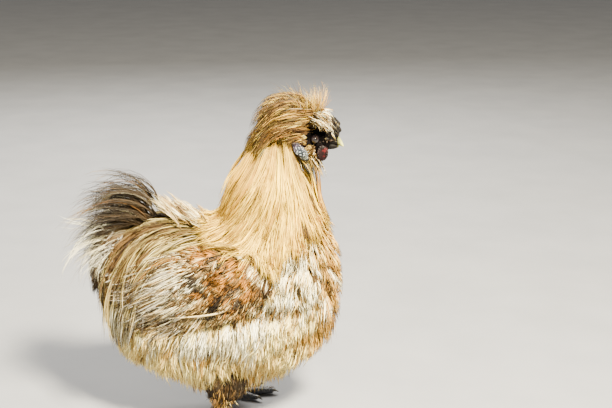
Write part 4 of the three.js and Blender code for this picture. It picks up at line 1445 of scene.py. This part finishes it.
# %% Model the bare shafts
SHAFT = ((44, 69, 146), (25, 77.6, 140), (6, 80, 137.5), (-12, 79, 135.5), (-28, 75, 133))
SHAFT_POINTS = 14
look = Finish("quill", roughness=0.45, coat_weight=0.1)
grain = look.noise(600.0, 3.0)
look.wear(
    base_color=look.ramp(grain, (0.3, (0.30, 0.21, 0.07)), (0.7, (0.66, 0.53, 0.25))),
    normal=look.bump(grain, 0.4, 0.0002),
)
for side, name in SIDES:
    bend = through([other_side(p, side) for p in SHAFT], SHAFT_POINTS)
    quill = drawn_out(bend, tapered(SHAFT_POINTS, [0, 0.35, 0.7, 1], [0.8, 1.3, 0.95, 0.3]), sides=8)
    finished(quill, "quill_" + name, look, "wing_feather", "wing_" + name)

# %% [markdown]
# ## The tail
#
# The tail feathers rise from the rump and arch back and down in tiers, each with ragged loose barbs that
# part and curl. The upper ones are few, fine and dark with tan tips, so the light shows between them. The
# lower ones are white and grey, and fine ash-coloured down fills their roots.

# %% Grow the tail
PLUME = Bunch(9, 7, width=0.52, narrow=0.3, wide=8.5, bow=3.2, wave=2.0, lift=3.6, shortest=0.4)
TIERS = (  # how many, where they start, the slopes they start and end at, and how long they are
    (30, (-48, 230), (112, 9), (256, 20), (88, 122)),
    (100, (-56, 218), (124, 14), (250, 24), (72, 106)),
    (66, (-68, 204), (152, 18), (266, 22), (66, 104)),
    (40, (-80, 196), (176, 14), (228, 26), (54, 82)),
)


def tail_plumes(seed):
    """Arcs in four tiers, from the dark upper ones to the white wisps at the bottom."""
    draw = np.random.default_rng(seed)
    tiers = []
    for k, (many, (ahead, up), first, last, long) in enumerate(TIERS):
        fan = draw.uniform(-1, 1, many)
        x = ahead + draw.normal(0, 5, many)
        z = up - np.abs(fan) * 6 + draw.normal(0, 4, many)
        starts = np.stack([x, fan * (9 + 4 * k), z], 1) * MM
        slopes = np.stack([draw.normal(*first, many) + np.abs(fan) * 8, draw.normal(*last, many)], 1)
        aside = fan * 26 + draw.normal(0, 8, many)
        tiers.append(arched(starts, slopes, aside, draw.uniform(*long, many), curl=0.9))
    return tuple(np.concatenate(group) for group in zip(*tiers))


def tail_marks(roots, marks):
    low = ease(212 - roots[:, 2] / MM, 0, 12)
    marks["black"], marks["rust"], marks["tan"] = 0.3 + 0 * low, 0.02 * (1 - low), 0.06 * (1 - low)
    marks["white"], marks["grey"], marks["streak"] = 0.05 + 0.6 * low, 0.05 + 0.2 * low, 0.12 + 0 * low


def on_tail(x, y, z):
    return (x < -72) & (z > 160)


def tail_lie(p, roots):
    return heading(-1, roots[:, 1] / 60, np.where(roots[:, 2] > 190, 0.5, -0.6))


coat("tail_plumes", *tail_plumes(83), PLUME, plume, "tail_feather", "tail", seed=84, extra=tail_marks)
dressed(
    "tail_down", ["tail", "body"], on_tail, flanks, tail_lie, DOWN, plume, "tail_feather", "tail", seed=85,
    spacing=5.6, length=26, tip=3.0, clump=8, pull=0.4, lean=0.25, extra=raised(grey=0.7),
)

# %% [markdown]
# ## Thighs
#
# The thighs carry a shorter down than the belly, which all but hides them, and it hangs to the shank. Its
# strands get much more black and dark streak than the belly's: partly the thigh's own browner colour, and
# partly painted shade for the shadow under the belly.

# %% Grow the down of the thighs
def over_shank(x, y, z):
    return z > 20


def thighs_lie(p, roots):
    return heading(-0.15, 0, -1)


# Painted shade in part: the black and streak shares of the thigh down also stand for the belly's shadow.
for (side, name), thigh_coat in zip(SIDES, thighs_coat):
    part = "thigh_" + name
    dressed(
        "thigh_down_" + name, [part], over_shank, thigh_coat, thighs_lie, DOWN, down, "plumage", part,
        seed=90 + side, spacing=5.4, length=18, tip=-1.0, clump=8, pull=0.5,
        extra=raised(black=0.6, streak=0.8),
    )

# %% [markdown]
# ## The comb
#
# A silkie cock's comb is a walnut comb: a broad dark cushion over the bill, covered in round warts with
# deep creases between, and with small paler beads at its foot. It is modelled as a base egg with warts of
# many sizes set over it in a spiral, fused by a remesh so the warts run into each other, and softened. Its
# finish is dark and dull. The tops of the warts are painted a little lighter, as painted light, and pale
# specks on them are painted highlights, standing for glints of light on the skin.

# %% Model the comb
COMB = ((138.4, 0, 315.5), (8.6, 10, 11.4), 8)
WARTS = 110
GOLDEN_ANGLE = 2.39996  # the turn from wart to wart that spreads them evenly
BEADS = (  # where each one is on the left, and its size
    (134, 8, 306, 2.0), (138, 6.4, 304.5, 1.6), (142, 5.2, 307, 1.5),
    (127, 9.0, 302.6, 0.8), (130.4, 9.0, 303.6, 0.9), (134, 8.0, 302.6, 0.9),
)
draw = np.random.default_rng(7)
warts = [COMB, ((130, 0, 318), (7, 9, 7), 0), ((140, 0, 305.5), (6, 6.5, 4), -12)]
for i in range(WARTS):
    height = 1 - 1.8 * (i + 0.5) / WARTS
    turn = i * GOLDEN_ANGLE + draw.normal(0, 0.2)
    reach = math.sqrt(1 - height * height)
    way = np.array([math.cos(turn) * reach, math.sin(turn) * reach, height])
    if way[0] < -0.55:
        continue
    at = np.array(COMB[0]) + way * (np.array(COMB[1]) + 0.4) * draw.uniform(0.92, 1.05)
    size = draw.uniform(1.1, 2.5)
    warts.append((at, (size, size, size * draw.uniform(0.9, 1.5)), 0))
for side, _ in SIDES:
    for x, y, z, size in BEADS:
        warts.append(((x, y * side, z), (size * 1.3, size, size), 0))
comb = cluster(warts, 0.5, detail=2)
modified(comb, "SMOOTH", factor=0.5, iterations=1)
points = corners(comb)
deep = np.linalg.norm((points / MM - COMB[0]) / (np.array(COMB[1]) + 1.4), axis=1)
write(comb, "crown", ease(deep, 0.93, 1.1))
write(comb, "bead", ease(306 - points[:, 2] / MM, 0.6, 2.0) * ease(np.abs(points[:, 1]) / MM, 4.5, 6.5))
look = Finish("warty_comb", roughness=0.55, specular_ior_level=0.1)
speck_noise = look.noise(700.0, 4.0)
on_top, on_bead = look.attribute("crown"), look.attribute("bead")
dark = look.ramp(
    look.noise(150.0, 3.0),
    (0.3, (0.0015, 0.0011, 0.0010)),
    (0.6, (0.005, 0.004, 0.003)),
    (0.8, (0.022, 0.018, 0.012)),
)
# Painted light: the tops of the warts are painted a little lighter.
lit = look.mix(dark, (0.009, 0.007, 0.005), on_top * 0.6)
# Painted highlights: pale specks on the wart tops, standing for glints of light.
painted_glints = look.between(speck_noise * (on_top * 0.5 + 0.6), 0.60, 0.72) * 0.5
with_painted_glints = look.mix(lit, (0.26, 0.20, 0.08), painted_glints)
look.wear(
    base_color=look.mix(with_painted_glints, (0.16, 0.10, 0.07), on_bead * look.between(speck_noise, 0.42, 0.6) * 0.6),
    roughness=look.between(speck_noise, 0.35, 0.65, 0.42, 0.8),
    normal=look.bump(look.noise(1400.0, 3.0) + look.cells(1100.0) * 0.6, 0.7, 0.0004),
)
finished(comb, "comb_warts", look, "comb", "comb")

# %% [markdown]
# ## The bill
#
# The bill is short and curved, with a ridge along its top, a hooked tip and a slit-like nostril on each
# side. Both halves are drawn out along their lines. The nostrils are pressed in point by point, as with a
# sculpting brush. The horn is slate at the root and turns to pale yellow-green at the tip, with fine growth
# lines across it.

# %% Model the two halves of the bill
NOSTRIL = (143.5, 5.0, 303.6)
NOSTRIL_TURN = np.array([[0.93, 0, -0.36], [0, 1, 0], [0.36, 0, 0.93]])  # the slit slants down forwards
upper_line = through([(131, 0, 304), (141, 0, 304.4), (148, 0, 301.6), (152.0, 0, 296.8)], 12)
upper_radii = tapered(12, [0, 0.45, 0.8, 0.95, 1], [7.2, 5.9, 3.5, 1.5, 0.5])
bill_upper = drawn_out(upper_line, upper_radii, sides=14, squash=0.84, smooth=2)
points = corners(bill_upper) / MM
ridge = ease(points[:, 2] - np.interp(points[:, 0], upper_line[:, 0], upper_line[:, 2]), 1.5, 5)
points[:, 1] *= 1 - 0.22 * ridge
for side, _ in SIDES:
    off = (points - other_side(NOSTRIL, side)) @ NOSTRIL_TURN.T
    press = 1 - ease(np.hypot(off[:, 0] / 2.6, off[:, 2] / 1.0), 0.3, 1.0)
    points[:, 1] -= side * 1.5 * press * (points[:, 1] * side > 0)
move_corners(bill_upper, points * MM)
lower_line = through([(130, 0, 297.6), (140, 0, 297.0), (147.2, 0, 296.6)], 8)
lower_radii = tapered(8, [0, 0.6, 0.9, 1], [4.8, 3.5, 1.8, 0.6])
bill_lower = drawn_out(lower_line, lower_radii, squash=0.86, smooth=2)
horn = Finish("bill_horn", roughness=0.6, coat_weight=0.02, coat_roughness=0.3, specular_ior_level=0.06)
along_bill = horn.node("ShaderNodeSeparateXYZ", None, (horn.place(),))
across_grain = horn.node("ShaderNodeMapping", None, {"Vector": horn.place(), "Scale": (900, 60, 60)})
growth = horn.node("ShaderNodeTexNoise", None, {"Vector": across_grain, "Scale": 1.0, "Detail": 3.0})
tinted = horn.ramp(
    horn.between(along_bill + growth * 0.003, 0.1345, 0.1535),
    (0.0, (0.002, 0.002, 0.002)),
    (0.70, (0.006, 0.005, 0.004)),
    (0.88, (0.20, 0.20, 0.05)),
    (1.0, (0.52, 0.52, 0.14)),
)
horn.wear(
    base_color=horn.mix(tinted, (0.02, 0.017, 0.012), horn.between(growth, 0.5, 0.8) * 0.45),
    roughness=horn.between(growth, 0.3, 0.7, 0.45, 0.7),
    normal=horn.bump(growth, 0.35, 0.0003),
)
finished(bill_upper, "bill_upper", horn, "horn", "beak_upper")
finished(bill_lower, "bill_lower", horn, "horn", "beak_lower")

# %% [markdown]
# ## Eyes
#
# A silkie's eye is black to dark brown and sits well into the head, inside the round lids that the skin
# already has. The eyeball is a sphere with its pole turned outwards; a cap round the pole is raised into
# the cornea, and a number written on each point, the angle from the pole, tells the finish where the pupil
# and the iris are.

# %% Model the eyes
look = Finish("dark_eye", roughness=0.12, coat_weight=0.4, coat_roughness=0.03, specular_ior_level=0.3)
gaze = look.attribute("gaze")
fibres = look.noise(900.0, 4.0)
iris = look.ramp(fibres, (0.35, (0.003, 0.0015, 0.001)), (0.7, (0.014, 0.006, 0.003)))
inner = look.mix((0.002, 0.002, 0.002), iris, look.between(gaze, 17.0, 19.0))
look.wear(base_color=look.mix(inner, (0.006, 0.004, 0.005), look.between(gaze, 33.0, 37.0)))
for side, name in SIDES:
    axis = Vector(other_side(EYE_AXIS, side)).normalized()
    outwards = axis.to_track_quat("Z", "Y").to_euler()
    eye = ball(other_side(EYE, side), (EYE_RADIUS,) * 3, 40, 28, outwards)
    points = corners(eye)
    off = unit(points - mm(*other_side(EYE, side)))
    angle = np.degrees(np.arccos(np.clip(off @ np.array(axis), -1, 1)))
    cap = 1 - ease(angle, 0, 40)
    move_corners(eye, points + off * (cap * 0.35 * MM)[:, None])
    write(eye, "gaze", angle)
    finished(eye, "eyeball_" + name, look, "eye", "eye_" + name)

# %% [markdown]
# ## Wattles and ear lobes
#
# A wattle is a round leaf of soft skin under the bill, dark maroon with red blotches, a paler rim and fine
# puckers. Three flattened eggs, fanned a little, are fused by a remesh, and the puckers are pressed in
# along the rim. The ear lobe is a long cushion below the ear, dark blue with a lavender top and a dark
# edge, and its pale flecks are painted highlights, standing for glints of light on the skin.


# %% Model the wattles
def turned(p, centre, degrees_z=0.0, degrees_y=0.0):
    """Points turned about a centre, first about Z and then about Y."""
    a, b = math.radians(degrees_z), math.radians(degrees_y)
    x, y, z = (p - centre).T
    x, y = x * math.cos(a) - y * math.sin(a), x * math.sin(a) + y * math.cos(a)
    x, z = x * math.cos(b) + z * math.sin(b), -x * math.sin(b) + z * math.cos(b)
    return np.stack([x, y, z], 1) + centre


WATTLE = (129.3, 6.6, 291.2)
LEAF = (6.6, 1.5, 8.6)
LEAF_ROOT = (4, 0, 0)  # the fan's leaves spread from here, ahead of the middle
OUTLINE = np.array([7.0, 1, 8.8])


def from_middle(piece, middle):
    """Where a wattle's points lie, as shares of its outline."""
    return (corners(piece) / MM - middle) / OUTLINE


look = Finish("wattle_skin", roughness=0.5, specular_ior_level=0.15)
rim, blotch = look.attribute("rim"), look.noise(230.0, 4.0)
red = look.ramp(
    blotch,
    (0.34, (0.0012, 0.0004, 0.0003)),
    (0.55, (0.006, 0.0004, 0.0004)),
    (0.72, (0.09, 0.002, 0.003)),
)
look.wear(
    base_color=look.mix(red, (0.10, 0.05, 0.035), look.between(rim * 0.8 + blotch * 0.5, 1.0, 1.22) * 0.6),
    roughness=look.between(blotch, 0.3, 0.7, 0.3, 0.55),
    normal=look.bump(look.cells(1300.0) + look.noise(700.0) * 0.7, 0.7, 0.0004),
)
for side, name in SIDES:
    middle = other_side(WATTLE, side)
    leaves = []
    for fan in (-28, 0, 28):
        leaf = ball((0, 0, 0), LEAF, 32, 20)
        move_corners(leaf, turned(corners(leaf) + mm(*middle), mm(*middle) + mm(*LEAF_ROOT), fan * side))
        leaves.append(leaf)
    wattle = modified(joined(leaves), "REMESH", mode="VOXEL", voxel_size=0.42 * MM)
    points = corners(wattle)
    ahead, _, up = from_middle(wattle, middle).T
    reach = np.hypot(ahead, up)
    pucker = np.sin(np.arctan2(up, ahead) * 17 + 3 * mottle(points, 4, 61)) * ease(reach, 0.35, 0.9)
    points[:, 1] += 0.45 * MM * pucker
    points += (points - mm(*middle)) * (0.03 * pucker * ease(reach, 0.6, 1))[:, None]
    move_corners(wattle, points)
    modified(wattle, "SMOOTH", factor=0.5, iterations=1)
    ahead, _, up = from_middle(wattle, middle).T
    write(wattle, "rim", ease(np.hypot(ahead, up), 0.55, 1.0))
    finished(wattle, "wattle_leaf_" + name, look, "wattle", "wattle_" + name)

# %% Model the ear lobes
look = Finish("lobe_skin", roughness=0.5, specular_ior_level=0.2)
high, edge = look.attribute("high"), look.attribute("edge")
cloud, flecks = look.noise(300.0, 4.0), look.noise(780.0, 3.0)
blue = look.ramp(
    high + (cloud - 0.5) * 0.35,
    (0.05, (0.055, 0.06, 0.025)),
    (0.35, (0.014, 0.022, 0.024)),
    (0.6, (0.007, 0.012, 0.022)),
    (0.8, (0.05, 0.030, 0.055)),
    (0.95, (0.016, 0.003, 0.005)),
)
veined = look.mix(blue, (0.006, 0.007, 0.010), look.between(flecks, 0.54, 0.42))
# Painted highlights: near-white flecks over the blue, standing for glints of light on the skin.
veined = look.mix(veined, (0.42, 0.45, 0.48), look.between(flecks, 0.56, 0.66) * 0.85)
border = look.between(edge + (cloud - 0.5) * 0.6, 0.55, 0.95)
look.wear(
    base_color=look.mix(veined, (0.02, 0.018, 0.022), border),
    roughness=look.between(cloud, 0.3, 0.7, 0.32, 0.55),
    normal=look.bump(cloud + look.cells(1200.0) * 0.35, 0.5, 0.0004),
)
for side, name in SIDES:
    at, radii, slant = LOBE
    lobe = ball(other_side(at, side), radii, 48, 32)
    points, centre = corners(lobe), mm(*other_side(at, side))
    ahead, _, up = ((points - centre) / mm(*radii)).T
    reach = np.hypot(ahead, up)
    swell = 0.5 * np.sin(ahead * 5) * ease(1 - reach, 0, 0.5) - 0.8 * ease(reach, 0.5, 1) * ahead**2
    points[:, 1] += side * MM * swell
    points[:, 2] += MM * 0.5 * np.sin(ahead * 7) * ease(reach, 0.5, 1)
    move_corners(lobe, turned(points, centre, 0, slant))
    write(lobe, "high", 0.5 - 0.5 * ahead)
    write(lobe, "edge", ease(reach, 0.66, 1.0))
    finished(lobe, "ear_lobe_" + name, look, "lobe", "earlobe_" + name)

# %% [markdown]
# ## Shanks and feet
#
# A silkie has five toes, where most fowl have four, and slate-coloured scaly legs with feathers down the
# outside. Each shank with its toes is one chain of balls fused by a remesh and settled on bent tubes, whose
# radius swells and shrinks along each toe so that the scales stand as rings. The claws are drawn out as
# separate pieces of horn.

# %% Model the shanks and toes
SHANK = ([(22, 36, 44), (23, 36, 28), (26, 36, 9)], (8.4, 6.6, 6.3))
ANKLE = (26, 36, 8)
HEEL = ((26, 36, 7.2), (9, 8, 7))
TOES = (  # heading from straight ahead, length, thickness, rise
    ("inner", -27, 34, 4.4, 0),
    ("middle", 3, 47, 4.8, 0),
    ("outer", 33, 38, 4.4, 0),
    ("hind", 176, 20, 4.0, 0),
    ("fifth", -146, 22, 3.6, 30),
)
CLAW = ((-2.5, -0.6), (4, -0.9), (8.6, 1.4))  # how far past the toe's end, and how far down
CLAW_RADII = [2.1, 2.2, 2.0, 1.6, 1.2, 0.75, 0.3]


def on_toe(toe, side, along, drop=0.0):
    """The point some way along a toe, and a little under it."""
    _, way, _, thick, rise = toe
    turn, lean = math.radians(way) * side, math.radians(rise)
    flat = math.cos(lean) * along
    height = thick * 0.8 + (6 if rise else 0) + math.sin(lean) * along - drop
    return (ANKLE[0] + math.cos(turn) * flat, ANKLE[1] * side + math.sin(turn) * flat, height)


def knuckled(toe, side):
    """A toe's line and its radius at each point, thick at the joints."""
    places = np.linspace(0, toe[2], 7)
    radii = toe[3] * np.array([1, 0.9, 1.0, 0.86, 0.95, 0.78, 0.66])
    return [on_toe(toe, side, along) for along in places], radii


scales = Finish("slate_scales", roughness=0.5)
scute, grime = scales.attribute("scute"), scales.noise(180.0, 4.0)
slate = scales.ramp(
    grime, (0.3, (0.020, 0.022, 0.027)), (0.6, (0.05, 0.055, 0.065)), (0.8, (0.12, 0.11, 0.09))
)
scales.wear(
    base_color=scales.mix(slate, (0.17, 0.15, 0.12), scales.between(scute, 0.5, 1.0) * 0.4),
    roughness=scales.between(grime, 0.3, 0.7, 0.4, 0.7),
    normal=scales.bump(scales.cells(700.0) + scute * 0.8, 0.7, 0.0006),
)
claw_horn = Finish("claw_horn", roughness=0.4, coat_weight=0.15)
grain = claw_horn.noise(500.0, 3.0)
claw_horn.wear(
    base_color=claw_horn.ramp(grain, (0.3, (0.03, 0.03, 0.028)), (0.7, (0.16, 0.14, 0.10))),
    normal=claw_horn.bump(grain, 0.4, 0.0003),
)
for side, name in SIDES:
    limb = [other_side(p, side) for p in SHANK[0]]
    heel = other_side(HEEL[0], side)
    balls = chain(limb, SHANK[1]) + [(heel, HEEL[1], 0)]
    tubes = [tube(limb, SHANK[1]), egg(heel, HEEL[1])]
    for toe in TOES:
        line, radii = knuckled(toe, side)
        balls += chain(line, radii, steps=2)
        tubes.append(tube(line, radii))
    foot = cluster(balls, 0.9, detail=2)
    form = melt(tubes, 3)
    points = settle(form, corners(foot), times=4)
    rings = np.zeros(len(points))
    for toe in TOES:
        root, tip = (mm(*on_toe(toe, side, a)) for a in (0, toe[2]))
        way = unit(tip - root)
        along = (points - root) @ way
        off = np.linalg.norm(points - root - along[:, None] * way, axis=1)
        near = (off < 6.5 * MM) & (along > 8 * MM)
        rings = np.where(near, 0.5 + 0.5 * np.cos(along / (2.6 * MM) * 2 * math.pi), rings)
    high = points[:, 2] > 13 * MM
    rings = np.where(high, 0.5 + 0.5 * np.cos(points[:, 2] / (4.2 * MM) * 2 * math.pi), rings)
    out = outward(form, points)
    rings *= ease(out[:, 2] + high * out[:, 0], -0.1, 0.5)
    points = points + out * ((rings - 0.6) * 0.5 * MM)[:, None]
    points[:, 2] = np.maximum(points[:, 2], 0)
    move_corners(foot, points)
    write(foot, "scute", rings)
    finished(foot, "shank_and_toes_" + name, scales, "scale", "shank_" + name, "foot_" + name)
    claws = []
    for toe in TOES:
        bend = through([on_toe(toe, side, toe[2] + past, drop) for past, drop in CLAW], 7)
        claws.append(drawn_out(bend, CLAW_RADII, sides=10))
    claws = joined(claws)
    points = corners(claws)
    points[:, 2] = np.maximum(points[:, 2], 0.05 * MM)
    move_corners(claws, points)
    finished(claws, "claws_" + name, claw_horn, "horn", "foot_" + name)

# %% [markdown]
# ## Feathers on the legs
#
# Down the outside of the shank and along the outer toes hang small brown and golden feathers, which show
# under the belly in front of the foot. They are free bunches that start on the scales and droop outwards.

# %% Grow the leg feathers
LEG_KIND = Bunch(7, 4, width=0.7, narrow=0.8, wide=5.0, bow=1.2, wave=0.6, lift=1.2, shortest=0.5)


def drooping(starts, headings, slopes, length, steps=6):
    """Bunches that leave their roots at a heading and a slope and sag towards the floor."""
    p = starts.copy()
    line, outs = [p], []
    ahead, aside = np.cos(headings), np.sin(headings)
    for i in range(steps + 1):
        slope = np.radians(slopes - 34 * i / steps)
        flat, up = np.cos(slope), np.sin(slope)
        way = np.stack([ahead * flat, aside * flat, up], 1)
        outs.append(np.stack([-ahead * up, -aside * up, flat], 1))
        if i < steps:
            p = p + way * (length * MM / steps)[:, None]
            p[:, 2] = np.maximum(p[:, 2], 1.2 * MM)
            line.append(p)
    return np.stack(line, 1), np.stack(outs, 1)


for side, name in SIDES:
    draw = np.random.default_rng(95 + side)
    many = 60
    height = draw.uniform(12, 40, many)
    aim = np.radians(draw.uniform(40, 150, many)) * side
    roots = np.stack([23 + 5 * np.cos(aim), 36 * side + 5 * np.sin(aim), height], 1) * MM
    toes = []
    for toe, share in ((TOES[1], 26), (TOES[2], 40)):
        for along in draw.uniform(4, toe[2] - 3, share):
            turn = math.radians(toe[1] + draw.uniform(20, 95)) * side
            toes.append((*on_toe(toe, side, along, -toe[3] * 0.4), turn))
    toes = np.array(toes)
    roots = np.concatenate([roots, toes[:, :3] * MM])
    aim = np.concatenate([aim, toes[:, 3]])
    slopes = np.concatenate([draw.uniform(-52, -20, many), draw.uniform(-8, 14, len(toes))])
    length = np.concatenate([draw.uniform(12, 24, many), draw.uniform(9, 18, len(toes))])
    line, outs = drooping(roots, aim, slopes, length)
    coat(
        "leg_feathers_" + name, line, outs, LEG_KIND, down, "plumage", "foot_" + name, seed=96 + side,
        extra=raised(tan=0.4, streak=0.6, black=0.35),
    )

# %% [markdown]
# ## Cheeks and throat
#
# Small golden feathers grow on the cheek behind the wattle and over the ear, and thin black and white wisps
# hang from the throat. They are the shortest of the coat, so their strands are the finest.

# %% Grow the cheek feathers and the throat wisps
CHEEK = Bunch(6, 4, width=0.38, narrow=0.4, wide=2.2, bow=0.8, wave=0.4, lift=0.9, shortest=0.5, together=0.4)
WISP = CHEEK._replace(strands=7, rings=5, width=0.5, narrow=0.5, wide=4.0, bow=1.4)


def on_cheek(x, y, z):
    behind = (x > 100) & (x < 122) & (z < 300) & (z > 285) & (np.abs(y) > 6)
    over_ear = (x > 103) & (x < 114) & (z >= 300) & (z < 311)
    return (behind | over_ear) & off_lobe(x, y, z, 0.85)


def cheek_lie(p, roots):
    return heading(-0.6, 0, np.where(roots[:, 2] > 300, 0.2, -0.8))


dressed(
    "cheeks", ["head", "neck"], on_cheek, grown(face, 1.2), cheek_lie, CHEEK, down, "hackle", "head", seed=98,
    spacing=2.3, length=7, tip=0.6, clump=4, pull=0.3, lean=0.3, lumps=0.3,
    extra=raised(tan=0.2, streak=0.7, white=0.3),
)
draw = np.random.default_rng(99)
many = 125
off = np.stack([draw.uniform(-12, 10, many), draw.normal(0, 7, many), draw.uniform(-1, 3, many)], 1)
slopes = np.stack([draw.normal(-62, 12, many), draw.normal(-78, 10, many)], 1)
fan = draw.normal(0, 14, many)
wisps = arched(mm(114, 0, 287) + off * MM, slopes, fan, draw.uniform(12, 34, many), steps=6)
coat("throat_wisps", *wisps, WISP, down, "hackle", "head", seed=100, extra=raised(black=0.6, white=0.4))

# %% [markdown]
# ## The solids' box
#
# The dressed bird is meant to fill the same box as the solids, whose box is printed once more.

# %% Print the solids' box
print("cad box", [round(c, 4) for corner in cad_box for c in corner])
